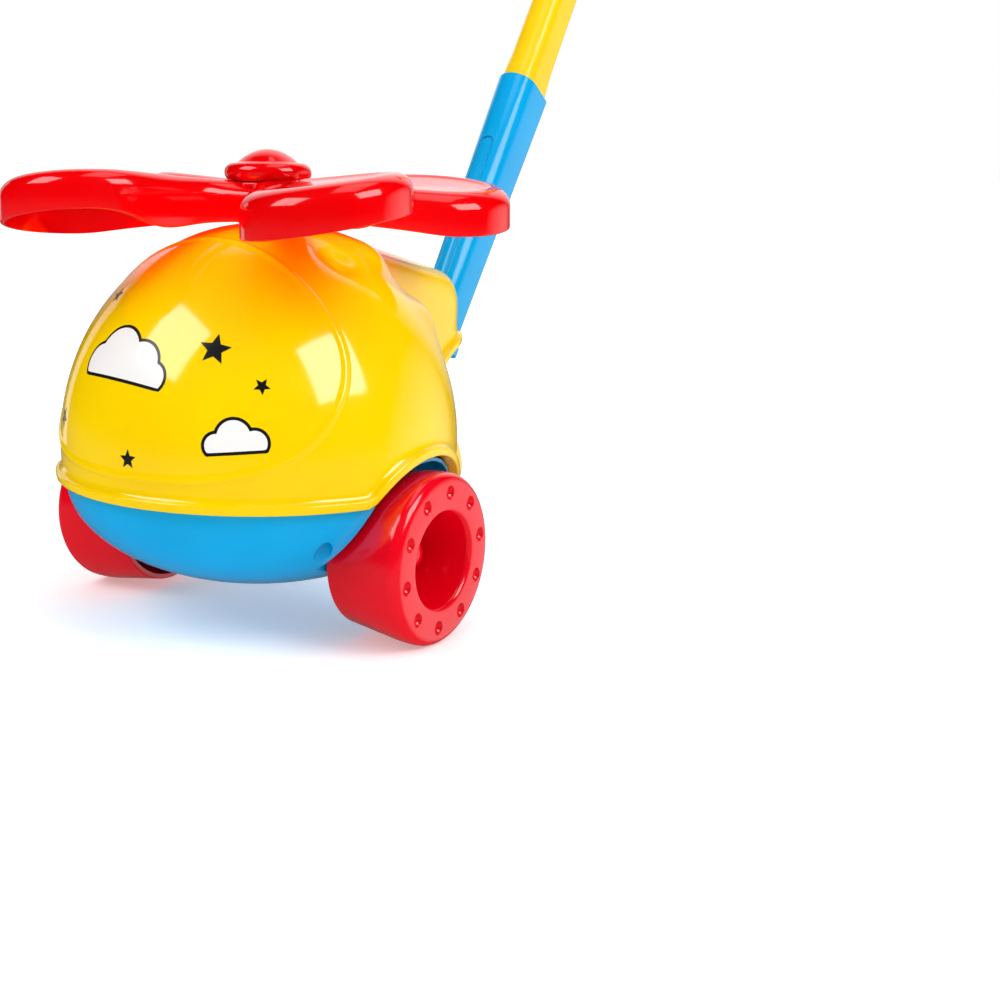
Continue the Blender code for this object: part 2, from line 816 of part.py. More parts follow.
def d_solid(stations):
    """A solid through D-shaped sections given as (distance, width, depth)."""
    return rings_solid([[on_handle(x, y, distance) for x, y in d_outline(width, depth)]
                        for distance, width, depth in stations])


def lower_tube_section(distance, margin=0):
    share = distance / lower_tube_length
    width = lower_tube_foot_width + (lower_tube_mouth_width - lower_tube_foot_width) * share
    depth = lower_tube_foot_depth + (lower_tube_mouth_depth - lower_tube_foot_depth) * share
    return distance, width + 2 * margin, depth + 2 * margin


def upper_tube_stations(margin=0):
    """Sections of the upper tube from its foot inside the lower tube to its top."""
    mouth = lower_tube_length
    middle_width = (upper_tube_mouth_width + upper_tube_width) / 2
    middle_depth = upper_tube_depth + (upper_tube_mouth_depth - upper_tube_depth) * 0.35
    stations = [(mouth - upper_tube_insert, upper_tube_width, middle_depth),
                (mouth, upper_tube_mouth_width, upper_tube_mouth_depth),
                (mouth + upper_tube_neck / 2, middle_width, middle_depth),
                (mouth + upper_tube_neck, upper_tube_width, upper_tube_depth),
                (mouth + upper_tube_length, upper_tube_top_width, upper_tube_top_depth)]
    return [(distance, width + 2 * margin, depth + 2 * margin) for distance, width, depth in stations]


def slot_cutter():
    """A groove round a long tongue on the lower tube's front, with round ends."""
    low = slot_top - slot_length

    def capsule(half_width, deeper, higher):
        corners = arc((0, slot_top - slot_half_width), half_width, 0, math.pi, 6)
        corners += arc((0, low + slot_half_width), half_width, math.pi, 2 * math.pi, 6)
        floor, front = [], []
        for across, along in corners:
            face = lower_tube_section(along)[2] / 2
            floor.append(on_handle(across, slot_depth - face + deeper, along))
            front.append(on_handle(across, -face - overrun - higher, along))
        return rings_solid([floor, front])

    return cut(capsule(slot_half_width, 0, 0),
               capsule(slot_half_width - slot_groove, overrun, overrun))


def handle_screw_bar(radius, start, end):
    """A bar square to the neck, half way along it, between two distances to its rear."""
    along = -neck_length / 2
    return bar(radius, on_handle(0, start, along), on_handle(0, end, along), fine_steps)


def grip_screw_bar(radius, start, end):
    """A bar square to the upper tube near its top, between two distances to its rear."""
    along = lower_tube_length + upper_tube_length - grip_screw_from_end
    return bar(radius, on_handle(0, start, along), on_handle(0, end, along), fine_steps)


# Gears

def crown_gear():
    """A disc on the axle with teeth that point at the mast, and a hub."""
    pitch_radius = gear_module * crown_teeth / 2
    mesh_x = gear_module * pinion_teeth / 2
    root_x, tip_x = mesh_x + tooth_below, mesh_x - tooth_above
    pitch = math.pi * gear_module
    low, high = pitch_radius - gear_face / 2, pitch_radius + gear_face / 2
    base = root_x + crown_plate / 2
    bm = bmesh.new()
    for n in range(crown_teeth):
        turn = Matrix.Rotation(2 * math.pi * n / crown_teeth, 4, "X")
        rings = []
        for radius in (low, high):
            root = pitch * tooth_root_share / 2 * radius / pitch_radius
            tip = pitch * tooth_tip_share / 2 * radius / pitch_radius
            rings.append([bm.verts.new(turn @ Vector(point)) for point in (
                (base, -root, radius), (base, root, radius), (root_x, root, radius),
                (tip_x, tip, radius), (tip_x, -tip, radius), (root_x, -root, radius))])
        for i in range(6):
            j = (i + 1) % 6
            bm.faces.new((rings[0][i], rings[0][j], rings[1][j], rings[1][i]))
        bm.faces.new(rings[0][::-1])
        bm.faces.new(rings[1])
    teeth = add_object("teeth", mesh_from(bm))
    bore = axle_radius + gap
    plate_x = root_x + crown_plate
    edge = high + gear_module * gear_rim_share
    profile = [(bore, root_x), (edge, root_x), (edge, plate_x), (crown_hub_radius, plate_x),
               (crown_hub_radius, plate_x + crown_hub_length), (bore, plate_x + crown_hub_length)]
    return join(turned(profile, well_steps, "X"), teeth)


def mast_pinion():
    """A spur pinion on the mast, with a hub below and above its teeth."""
    pitch_radius = gear_module * pinion_teeth / 2
    root, tip = pitch_radius - tooth_below, pitch_radius + tooth_above
    pitch = math.pi * gear_module
    half_root = pitch * tooth_root_share / 2 / root
    half_tip = pitch * tooth_tip_share / 2 / tip
    outline = []
    for n in range(pinion_teeth):
        middle = 2 * math.pi * (n + 0.5) / pinion_teeth
        for radius, angle in ((root, -half_root), (tip, -half_tip), (tip, half_tip),
                              (root, half_root)):
            outline.append((radius * math.cos(middle + angle), radius * math.sin(middle + angle)))
    mesh_z = gear_module * crown_teeth / 2
    body = prism(outline, lambda x, y, z: (x, y, z), mesh_z - gear_face / 2, mesh_z + gear_face / 2)
    hub_foot = bracket_low_z + bracket_plate + bracket_pad_rise + gap
    join(body, bar(pinion_hub_radius, (0, 0, hub_foot), (0, 0, pinion_hub_top_z)))
    return cut(body, bar(mast_radius + gap, (0, 0, hub_foot - overrun),
                         (0, 0, pinion_hub_top_z + overrun)))


# Wheels

def wheel(side):
    """A wheel: tapered tread, flat face with a ring of dimples, deep round cup and hub."""
    face, inner = wheel_outer_x, wheel_inner_x
    bore = axle_radius + gap
    taper = wheel_radius - wheel_inner_radius
    tread = [(wheel_inner_radius, inner),
             (wheel_radius - taper * 0.1, wheel_crown_x - wheel_corner),
             (wheel_radius, wheel_crown_x)]
    corner = arc((wheel_radius - wheel_corner, face - wheel_corner), wheel_corner,
                 math.pi / 10, math.pi / 2, 3)
    hole = [(wheel_hole_radius + wheel_hole_lip, face),
            (wheel_hole_radius + wheel_hole_lip * 0.3, face - wheel_hole_lip * 0.3),
            (wheel_hole_radius, face - wheel_hole_lip)]
    cup = [(wheel_cup_radius, wheel_cup_x), (wheel_hub_radius, wheel_cup_x),
           (wheel_hub_radius, wheel_boss_x), (bore, wheel_boss_x), (bore, inner)]
    back = [(wheel_hub_radius - gap, inner), (wheel_hub_radius - gap, wheel_cup_x - wheel_wall),
            (wheel_cup_radius + wheel_wall - gap, wheel_cup_x - wheel_wall),
            (wheel_hole_radius + wheel_wall, face - wheel_face_wall),
            (wheel_radius - wheel_corner, face - wheel_face_wall),
            (wheel_radius - wheel_wall, wheel_crown_x),
            (wheel_inner_radius - wheel_wall, inner)]
    body = turned(tread + corner + hole + cup + back, wheel_steps, "X")
    rise = overrun / dimple_depth
    spread = dimple_radius + (dimple_radius - dimple_floor_radius) * rise
    cutters = []
    for n in range(dimple_count):
        angle = dimple_phase - 2 * math.pi * n / dimple_count
        y = dimple_circle_radius * math.cos(angle)
        z = dimple_circle_radius * math.sin(angle)
        cutters.append(bar(dimple_floor_radius, (face - dimple_depth, y, z), (face + overrun, y, z),
                           dimple_steps, end_radius=spread))
    cut(body, gather("dimples", cutters))
    if side < 0:
        body.data.transform(Matrix.Rotation(math.pi, 4, "Z"))
    return body


def hub_cap(side):
    """A domed cap pushed over the axle's end."""
    start = wheel_boss_x + gap
    bore = axle_radius + gap
    dome_height = cap_radius / 2
    end = start + cap_length
    dome = [(cap_radius * math.cos(a), end - dome_height * (1 - math.sin(a)))
            for a in (math.pi / 2 * i / 3 for i in range(3))]
    profile = [(bore, start), (cap_radius, start), *dome, (0, end),
               (0, axle_end_x + gap), (bore, axle_end_x + gap)]
    return capped_turn(profile, "X" if side > 0 else "-X")


def capped_turn(profile, axis):
    """Turn a profile that touches the axis twice, as the roof of a hollow cap does."""
    top = [index for index, (radius, _) in enumerate(profile) if radius == 0]
    ordered = profile[top[1]:] + profile[:top[0] + 1]
    return turned(ordered, small_steps, axis)


# Rotor

def blade_half_width(u):
    """Half the blade's width at a distance from the mast, up to the start of its round tip."""
    share = min(max((u - blade_widen_from) / (blade_widen_to - blade_widen_from), 0), 1)
    share = share * share * (3 - 2 * share)
    return blade_root_half_width + (blade_tip_radius - blade_root_half_width) * share


def blade_outline():
    """The blade's outline from above, anticlockwise, with the outward direction at each point."""
    tip_centre = rotor_radius - blade_tip_radius
    steps = 6
    sides = [blade_root + (tip_centre - blade_root) * i / steps for i in range(steps + 1)]
    low = [(u, -blade_half_width(u)) for u in sides]
    tip = arc((tip_centre, 0), blade_tip_radius, -math.pi / 2, math.pi / 2, 10)[1:-1]
    high = [(u, blade_half_width(u)) for u in reversed(sides)]
    points = low + tip + high
    outline = []
    for i, (u, v) in enumerate(points):
        before = points[i - 1] if i else (u - blade_root, v)
        after = points[i + 1] if i + 1 < len(points) else (u - blade_root, v)
        along = Vector((after[0] - before[0], after[1] - before[1])).normalized()
        outline.append(((u, v), (along.y, -along.x)))
    return outline


def blade_bottom(u, v):
    share = min(max((u - blade_level_from) / (blade_level_to - blade_level_from), 0), 1)
    return blade_bottom_z + v * math.tan(blade_bottom_pitch) * share


def blade_top(v):
    return blade_top_z + v * math.tan(blade_top_pitch)


def blade():
    """One blade: a rounded paddle, open below, with a shallow dish in its top."""
    outline = blade_outline()

    def ring(inset, drop):
        points = []
        for (u, v), (out_u, out_v) in outline:
            moved_u, moved_v = max(u - out_u * inset, blade_root + inset), v - out_v * inset
            height = blade_bottom(u, v) if drop is None else blade_top(moved_v) - drop
            points.append((moved_u, moved_v, height))
        return points

    low_corner = blade_corner / 2
    outer = [ring(0, None), ring(0, blade_corner), ring(blade_corner * 0.3, blade_corner * 0.3),
             ring(blade_corner, 0), ring(blade_dish_inset, 0),
             ring(blade_dish_inset + blade_dish_slope, blade_dish_depth)]
    inner = [ring(blade_wall, None), ring(blade_wall, blade_ceiling + low_corner),
             ring(blade_wall + low_corner, blade_ceiling)]
    bm = bmesh.new()
    rows = [[bm.verts.new(point) for point in row] for row in inner[::-1] + outer]
    count = len(outline)
    for low, high in zip(rows, rows[1:]):
        for i in range(count):
            j = (i + 1) % count
            bm.faces.new((low[i], low[j], high[j], high[i]))
    bm.faces.new(rows[0][::-1])
    bm.faces.new(rows[-1])
    return add_object("blade", mesh_from(bm))


def rotor():
    """Four blades on a hub, with a seat for the cap."""
    plate = blade_wall
    bore, screw_hole = mast_radius + gap, screw_radius + running_gap
    step_z = mast_top_z + gap
    hub = turned([(hub_radius, hub_bottom_z), (hub_radius, hub_top_z - plate * 0.5),
                  (hub_radius - plate * 0.5, hub_top_z), (screw_hole, hub_top_z),
                  (screw_hole, step_z), (bore, step_z), (bore, hub_tube_bottom_z),
                  (hub_tube_radius, hub_tube_bottom_z), (hub_tube_radius, hub_top_z - plate),
                  (hub_radius - plate, hub_top_z - plate), (hub_radius - plate, hub_bottom_z)])
    for n in range(blade_count):
        paddle = blade()
        angle = rotor_phase + 2 * math.pi * n / blade_count
        paddle.data.transform(Matrix.Rotation(angle, 4, "Z"))
        join(hub, paddle)
    seat_z = hub_top_z + gap
    return cut(hub, bar(rotor_cap_radius + gap, (0, 0, seat_z), (0, 0, rotor_cap_top_z), turned_steps))


def rotor_cap():
    """The hub's cover: a round ring with a smaller dome on it."""
    foot = hub_top_z + 2 * gap
    ring_middle = (foot + rotor_cap_ring_z) / 2
    bulge = (rotor_cap_ring_z - foot) / 2
    ring = arc((rotor_cap_radius - bulge, ring_middle), bulge, -math.pi / 2, math.pi / 2, 5)
    rise = rotor_cap_top_z - rotor_cap_ring_z
    dome = [(rotor_cap_dome_radius * math.cos(a), rotor_cap_ring_z + rise * math.sin(a))
            for a in (math.pi / 2 * i / 4 for i in range(4))]
    inner_radius = rotor_cap_dome_radius - blade_wall
    ceiling = rotor_cap_ring_z + blade_wall
    inside = [(0, ceiling), (inner_radius, ceiling), (inner_radius, foot)]
    return turned(inside + ring + dome + [(0, rotor_cap_top_z)])


def bracket():
    """The frame that holds the mast over the axle: two legs, two bearing plates and two feet."""
    half, leg = bracket_half_span, bracket_leg
    foot = half + bracket_foot_length
    low, top, plate = bracket_low_z, bracket_top_z, bracket_plate
    ground = bracket_foot_z
    outline = [(-foot, ground), (leg - half, ground), (leg - half, low), (half - leg, low),
               (half - leg, ground), (foot, ground), (foot, ground + plate), (half, ground + plate),
               (half, top), (-half, top), (-half, ground + plate), (-foot, ground + plate)]
    body = prism(outline, lambda y, z, x: (x, y, z), -bracket_half_width, bracket_half_width)
    cut(body, block((-bracket_half_width - overrun, leg - half, low + plate),
                    (bracket_half_width + overrun, half - leg, top - plate)))
    for base in (low, top - plate):
        join(body, bar(bracket_pad_radius, (0, 0, base - bracket_pad_rise),
                       (0, 0, base + plate + bracket_pad_rise)))
    cut(body, bar(mast_radius + running_gap, (0, 0, low - overrun), (0, 0, top + overrun)))
    for y in (-bracket_screw_y, bracket_screw_y):
        cut(body, bar(screw_radius + running_gap, (0, y, ground - overrun),
                      (0, y, ground + plate + overrun), fine_steps))
    return body


def shell_screw_places():
    return [(side * x, y) for side in (-1, 1)
            for x, y in ((front_screw_x, front_screw_y), (rear_screw_x, rear_screw_y))]


def upper_shell(angles):
    """The dome with its rib, four screw posts and the opening for the handle."""
    shell = upper_skin(angles)
    join(shell, canopy_rib())
    for x, y in shell_screw_places():
        post = bar(boss_radius, (x, y, boss_joint_z + gap), (x, y, dome_top_z))
        join(shell, trim(post, upper_body(angles, wall / 2)))
        cut(shell, bar(screw_radius + gap, (x, y, boss_joint_z - overrun),
                       (x, y, screw_seat_z + screw_length + overrun), fine_steps))
    cut(shell, d_solid([lower_tube_section(-gap, running_gap),
                        lower_tube_section(lower_tube_length / 2, running_gap)]))
    return shell


def lower_shell(angles):
    """The bowl with its wheel wells, axle bearings, screw posts and the handle's sleeve."""
    shell = lower_skin(angles)
    lining = well_radius + well_wall
    outside = dome_half_width + overrun
    for side in (-1, 1):
        inner_x = side * (well_inner_x - well_wall)
        well = bar(lining, (inner_x, well_y, well_z), (side * outside, well_y, well_z), well_steps)
        join(shell, trim(well, lower_body(angles, bead_edge / 2)))
        boss = bar(axle_boss_radius, (inner_x + side * well_wall / 2, 0, 0),
                   (inner_x - side * axle_boss_length, 0, 0))
        join(shell, boss)
    for x, y in shell_screw_places():
        post = bar(recess_radius + well_wall, (x, y, -bowl_depth), (x, y, boss_joint_z - gap))
        join(shell, trim(post, lower_body(angles, wall / 2)))
    for y in (-bracket_screw_y, bracket_screw_y):
        post = bar(boss_radius, (0, y, -bowl_depth), (0, y, bracket_foot_z - gap))
        join(shell, trim(post, lower_body(angles, wall / 2)))
    sleeve = bar(neck_radius + gap + sleeve_wall, on_handle(0, 0, -neck_length - 2 * sleeve_wall),
                 on_handle(0, 0, -deck_thickness / 2), small_steps)
    deck = d_solid([lower_tube_section(-deck_thickness, deck_margin),
                    lower_tube_section(deck_collar, deck_margin)])
    join(shell, join(sleeve, deck))
    cut(shell, d_solid([lower_tube_section(-gap, running_gap),
                        lower_tube_section(lower_tube_length / 2, running_gap)]))
    cut(shell, bar(neck_radius + gap, on_handle(0, 0, -neck_length - gap),
                   on_handle(0, 0, overrun), small_steps))
    end_x = outside + overrun
    cut(shell, gather("wells", [bar(well_radius, (side * well_inner_x, well_y, well_z),
                                    (side * end_x, well_y, well_z), well_steps)
                                for side in (-1, 1)]))
    cut(shell, bar(axle_radius + running_gap, (-end_x, 0, 0), (end_x, 0, 0)))
    cut(shell, gather("recesses", [bar(recess_radius, (x, y, -bowl_depth), (x, y, screw_seat_z))
                                   for x, y in shell_screw_places()]))
    cut(shell, gather("holes", [bar(screw_radius + running_gap, (x, y, screw_seat_z - overrun),
                                    (x, y, boss_joint_z + overrun), fine_steps)
                                for x, y in shell_screw_places()]))
    cut(shell, gather("pilots", [bar(screw_radius + gap, (0, y, bracket_foot_z - short_screw_length),
                                     (0, y, bracket_foot_z + overrun), fine_steps)
                                 for y in (-bracket_screw_y, bracket_screw_y)]))
    seat = neck_radius + gap + sleeve_seat
    cut(shell, handle_screw_bar(recess_radius, seat, seat + 3 * recess_radius),
        handle_screw_bar(screw_radius + running_gap, 0, seat + overrun))
    return shell


def handle_lower_tube():
    """The lower tube: a widening D-shaped tube on a round neck that plugs into the tail."""
    shoulder = tube_shoulder
    body = d_solid([lower_tube_section(0, -shoulder * 0.8),
                    lower_tube_section(shoulder * 0.25, -shoulder * 0.3),
                    lower_tube_section(shoulder), lower_tube_section(lower_tube_length)])
    join(body, bar(neck_radius, on_handle(0, 0, -neck_length), on_handle(0, 0, shoulder), small_steps))
    foot, mouth = upper_tube_stations(gap)[:2]
    foot = (foot[0] - gap, foot[1], foot[2])
    over = (mouth[0] + overrun, mouth[1], mouth[2])
    bore = [lower_tube_section(shoulder + tube_wall, -tube_wall),
            lower_tube_section(foot[0] + overrun / 2, -tube_wall)]
    cut(body, d_solid([foot, mouth, over]), d_solid(bore), slot_cutter())
    return cut(body, handle_screw_bar(screw_radius + gap, -neck_radius / 2, neck_radius + overrun))


def handle_upper_tube():
    """The upper tube: necked where it leaves the lower one, closed at its top."""
    body = d_solid(upper_tube_stations())
    stations = upper_tube_stations(-tube_wall)
    below = (stations[0][0] - overrun, stations[0][1], stations[0][2])
    end = (stations[4][0] - tube_wall, stations[4][1], stations[4][2])
    cut(body, d_solid([below] + stations[1:4] + [end]))
    rear = upper_tube_top_depth / 2
    return cut(body, grip_screw_bar(screw_radius + gap, 0, rear + overrun))


def handle_grip():
    """The cross grip: a bar with round ends and a slight waist, on a short socket."""
    middle = lower_tube_length + upper_tube_length
    reach = grip_half_length - grip_radius
    ends = [math.pi / 2 * i / 4 for i in range(5)]
    profile = [(grip_radius * math.sin(a), -reach - grip_radius * math.cos(a)) for a in ends]
    profile += [(grip_radius - grip_waist * math.cos(math.pi / 2 * share), reach * share)
                for share in grip_shares]
    profile += [(grip_radius * math.cos(a), reach + grip_radius * math.sin(a)) for a in ends[:-1]]
    profile.append((0, grip_half_length))
    body = turned(profile, grip_steps, "X")
    body.data.transform(Matrix.Translation(on_handle(0, 0, middle)))
    margin = grip_socket_wall + gap
    width, depth = upper_tube_top_width, upper_tube_top_depth
    foot = middle - grip_socket_depth
    join(body, d_solid([(foot, width + 2 * margin, depth + 2 * margin),
                        (middle, width + 2 * margin, depth + 2 * margin)]))
    neck, top = upper_tube_stations(gap)[3:]
    share = (foot - overrun - neck[0]) / (top[0] - neck[0])
    low = [a + (b - a) * share for a, b in zip(neck, top)]
    cut(body, d_solid([low, (top[0] + gap, top[1], top[2])]))
    rear = depth / 2 + gap
    return cut(body, grip_screw_bar(recess_radius, rear + grip_socket_wall / 2,
                                    rear + 3 * recess_radius),
               grip_screw_bar(screw_radius + running_gap, 0, rear + overrun))


def build():
    for old in list(bpy.data.objects):
        bpy.data.objects.remove(old)

    red = material("red_plastic", (0.84, 0.0, 0.006), 0.16)
    yellow = material("yellow_plastic", (0.97, 0.66, 0.0), 0.16)
    blue = material("blue_plastic", (0.0, 0.43, 0.87), 0.16)
    white = material("white_plastic", (0.8, 0.8, 0.78), 0.35)
    steel = material("steel", (0.62, 0.62, 0.62), 0.3, 1.0)

    root = bpy.data.objects.new("toy", None)
    axle_spin = bpy.data.objects.new("axle_turns", None)
    rotor_spin = bpy.data.objects.new("rotor_turns", None)
    for empty in (root, axle_spin, rotor_spin):
        bpy.context.scene.collection.objects.link(empty)
    axle_spin.parent = root
    rotor_spin.parent = root

    angles = column_angles()
    finish_object(upper_shell(angles), "upper_shell", yellow, root)
    finish_object(lower_shell(angles), "lower_shell", blue, root)

    finish_object(wheel(1), "left_wheel", red, axle_spin)
    finish_object(wheel(-1), "right_wheel", red, axle_spin)
    finish_object(hub_cap(1), "left_wheel_cap", red, axle_spin)
    finish_object(hub_cap(-1), "right_wheel_cap", red, axle_spin)
    finish_object(bar(axle_radius, (-axle_end_x, 0, 0), (axle_end_x, 0, 0)),
                  "axle", steel, axle_spin)
    start, bore = well_inner_x + gap, axle_radius + gap
    ring = [(bore, start), (washer_radius, start), (washer_radius, start + washer_thickness),
            (bore, start + washer_thickness)]
    finish_object(turned(ring, small_steps, "X"), "left_axle_washer", white, axle_spin)
    finish_object(turned(ring, small_steps, "-X"), "right_axle_washer", white, axle_spin)
    finish_object(crown_gear(), "crown_gear", white, axle_spin)

    mast = bar(mast_radius, (0, 0, mast_foot_z), (0, 0, mast_top_z))
    cut(mast, bar(screw_radius + gap, (0, 0, mast_top_z - screw_length + overrun),
                  (0, 0, mast_top_z + overrun), fine_steps))
    finish_object(mast, "mast", steel, rotor_spin)
    finish_object(mast_pinion(), "mast_pinion", white, rotor_spin)
    finish_object(rotor(), "rotor", red, rotor_spin)
    finish_object(rotor_cap(), "rotor_cap", red, rotor_spin)
    finish_object(screw((0, 0, hub_top_z + 2 * gap), (0, 0, -1)), "rotor_screw", steel, rotor_spin)

    top_z = dome_top_z + gap
    tube, bore = mast_hole_radius - gap, mast_radius + running_gap
    bush = turned([(bore, top_z - bush_length), (tube, top_z - bush_length), (tube, top_z),
                   (bush_flange_radius, top_z), (bush_flange_radius, top_z + bush_flange),
                   (bore, top_z + bush_flange)], small_steps)
    finish_object(bush, "mast_bush", white, root)
    finish_object(bracket(), "gear_bracket", white, root)
    seat_z = bracket_foot_z + bracket_plate + gap
    for place, y in (("front", -bracket_screw_y), ("rear", bracket_screw_y)):
        finish_object(screw((0, y, seat_z), (0, 0, -1), short_screw_length),
                      place + "_bracket_screw", steel, root)
    for x, y in shell_screw_places():
        place = ("left_" if x > 0 else "right_") + ("front" if y < 0 else "rear")
        finish_object(screw((x, y, screw_seat_z - gap), (0, 0, 1)),
                      place + "_shell_screw", steel, root)

    finish_object(handle_lower_tube(), "handle_lower_tube", blue, root)
    finish_object(handle_upper_tube(), "handle_upper_tube", yellow, root)
    finish_object(handle_grip(), "handle_grip", red, root)
    inwards = handle_turn @ Vector((0, -1, 0))
    place = on_handle(0, neck_radius + gap + sleeve_seat + gap, -neck_length / 2)
    finish_object(screw(place, inwards, short_screw_length), "handle_screw", steel, root)
    place = on_handle(0, upper_tube_top_depth / 2 + gap + grip_socket_wall / 2 + gap,
                      lower_tube_length + upper_tube_length - grip_screw_from_end)
    finish_object(screw(place, inwards, short_screw_length), "grip_screw", steel, root)

    places = [vert.co.y for piece in bpy.data.objects if piece.type == "MESH"
              for vert in piece.data.vertices]
    root.location = (0, -(min(places) + max(places)) / 2, wheel_radius)


build()
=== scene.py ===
"""Looks of the toddler push toy: fine moulded skins, plastics, a generic print and a studio.

Lengths are in metres. Shapes are modelled about the middle of the axle, X to the toy's left,
Y to its tail and Z up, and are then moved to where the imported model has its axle.
"""
import json
from math import cos, exp, pi, sin, sqrt, tan

import bmesh
import bpy
import numpy as np
from mathutils import Matrix, Vector


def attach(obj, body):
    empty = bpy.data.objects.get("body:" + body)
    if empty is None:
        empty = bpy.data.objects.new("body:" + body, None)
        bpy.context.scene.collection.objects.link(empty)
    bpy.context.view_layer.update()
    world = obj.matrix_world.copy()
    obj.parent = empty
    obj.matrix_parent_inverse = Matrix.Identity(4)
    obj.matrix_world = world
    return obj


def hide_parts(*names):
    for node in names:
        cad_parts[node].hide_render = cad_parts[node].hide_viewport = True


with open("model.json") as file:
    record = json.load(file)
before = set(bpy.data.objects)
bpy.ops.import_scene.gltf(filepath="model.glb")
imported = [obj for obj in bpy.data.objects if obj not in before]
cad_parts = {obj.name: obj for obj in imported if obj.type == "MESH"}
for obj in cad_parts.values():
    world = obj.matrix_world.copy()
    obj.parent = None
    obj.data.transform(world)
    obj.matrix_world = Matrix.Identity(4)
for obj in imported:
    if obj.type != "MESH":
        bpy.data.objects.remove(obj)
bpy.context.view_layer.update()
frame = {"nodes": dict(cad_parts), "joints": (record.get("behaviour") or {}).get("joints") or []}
axle_place = Vector(frame["joints"][0]["pos_m"])

mm = 0.001
deg = pi / 180

# Clearances
gap = 0.3 * mm
arch_gap = 1.1 * mm
running_gap = 0.4 * mm
overrun = 3 * mm

# Body: the upper shell is an ellipsoid dome, the lower one a flatter bowl
wall = 2.2 * mm
dome_half_width = 87.3 * mm
dome_half_length = 91.9 * mm
dome_half_height = 98.0 * mm
dome_centre_y = -2.9 * mm
dome_centre_z = 41.9 * mm
dome_centre = (0, dome_centre_y, dome_centre_z)
seam_height = 27.1 * mm
bowl_depth = 47.7 * mm
seam_step = 0.9 * mm
bead_proud = 3.0 * mm
bead_height = 4.2 * mm
bead_edge = 0.9 * mm
bead_fillet = 3.8 * mm
lip_height = 2.5 * mm
lip_width = 1.4 * mm
lip_share = 0.12

# Tail boom of the upper shell and keel of the lower one; each slanted plane has a (y, z) and a rise
tail_end_y = 148 * mm
tail_top = (82 * mm, 124.6 * mm, -11.5 * deg)
tail_front_y = 14 * mm
tail_half_width = 16 * mm
tail_taper = 5.2 * deg
tail_rounding = 16 * mm
tail_end_rounding = 20 * mm
tail_blend = 8 * mm
ramp_start_y = 50.7 * mm
ramp_slope = 0.59
ramp_blend = 8 * mm
ramp_top_z = 78 * mm
keel_steep = (tail_end_y, ramp_top_z, 62 * deg)
keel_knee = (112 * mm, 22 * mm, 39 * deg)
keel_belly = (60 * mm, -9 * mm, 12 * deg)
keel_rounding = 20 * mm

# Relief on the dome: each swelling or dent has a place (x, y, z), a height and a reach
front_bump = (33 * mm, 30 * mm, 128 * mm, 5.5 * mm, 12 * mm)
rear_bump = (52 * mm, 44 * mm, 100 * mm, 4.2 * mm, 12 * mm)
saddle = (46 * mm, 39 * mm, 111 * mm, -1.5 * mm, 9 * mm)
intake = (43 * mm, -4 * mm, 127 * mm, -4.0 * mm, 9 * mm)
recess = (33 * mm, 62 * mm, 108 * mm, -6.0 * mm, 14 * mm)

# Canopy rib: its path in side view bends at these (y, z), down the sides and round the front
rib_bend = ((-35.5 * mm, 100 * mm), (-36 * mm, 75 * mm), (-62 * mm, 42 * mm), (-97 * mm, 39 * mm))
rib_rise = 0.8 * mm
rib_spread = 1.5 * mm
rib_skirt = 4 * mm
rib_sink = 0.04 * mm

# Running gear
wheel_radius = 38.5 * mm
wheel_outer_x = 97.5 * mm
wheel_inner_x = 59.2 * mm
wheel_inner_radius = 34.3 * mm
wheel_crown_x = 87.5 * mm
wheel_crown_rounding = 60 * mm
wheel_edge = 0.8 * mm
wheel_cup_rounding = 2.5 * mm
wheel_corner = 5.0 * mm
wheel_wall = 2.4 * mm
wheel_face_wall = 3.2 * mm
wheel_hole_radius = 21.5 * mm
wheel_hole_lip = 2.6 * mm
wheel_cup_radius = 18.5 * mm
wheel_cup_x = 68 * mm
wheel_hub_radius = 8.0 * mm
wheel_boss_edge = 1.0 * mm
wheel_boss_x = 75.5 * mm
dimple_circle_radius = 30 * mm
dimple_radius = 3.2 * mm
dimple_depth = 2.2 * mm
dimple_count = 10
dimple_steps = 32
dimple_phase = 84 * deg
axle_radius = 2.5 * mm
axle_end_x = 81 * mm
cap_radius = 5.6 * mm
cap_length = 8.6 * mm
well_radius = 41.0 * mm
well_wall = 1.6 * mm
well_inner_x = 57.4 * mm
well_y = 1.5 * mm
well_z = 1.0 * mm
axle_boss_radius = 6.5 * mm
axle_boss_length = 12 * mm

# Rotor
mast_radius = 2.5 * mm
mast_top_z = 152 * mm
mast_hole_radius = 5.8 * mm
rotor_phase = 55 * deg
rotor_radius = 115.3 * mm
blade_count = 4
blade_tip_radius = 34.5 * mm
blade_root_half_width = 13.5 * mm
blade_root = 10 * mm
blade_widening = (24 * mm, 78 * mm)
blade_top_z = 158.2 * mm
blade_bottom_z = 140.4 * mm
blade_top_pitch = 8.5 * deg
blade_bottom_pitch = 10.0 * deg
blade_top_twist = (12 * mm, 36 * mm)
blade_bottom_twist = (12 * mm, 78 * mm)
blade_corner_across = 8.8 * mm
blade_corner_down = 8.0 * mm
blade_skirt_at = 52 * mm
blade_skirt_reach = 17 * mm
blade_skirt_drop = 5.0 * mm
blade_wall = 2.0 * mm
blade_dish_inset = 9.0 * mm
blade_dish_slope = 3.6 * mm
blade_dish_depth = 0.9 * mm
blade_ceiling = 3.8 * mm
rotor_lean = 2.0 * deg
rotor_lean_towards = -5 * deg
hub_radius = 17.6 * mm
hub_bottom_z = 140.5 * mm
hub_top_z = 157.5 * mm
hub_tube_radius = 6.0 * mm
hub_tube_bottom_z = 143 * mm
rotor_cap_radius = 19.2 * mm
rotor_cap_ring_z = 165.9 * mm
rotor_cap_top_z = 172.0 * mm
rotor_cap_dome_radius = 13.8 * mm
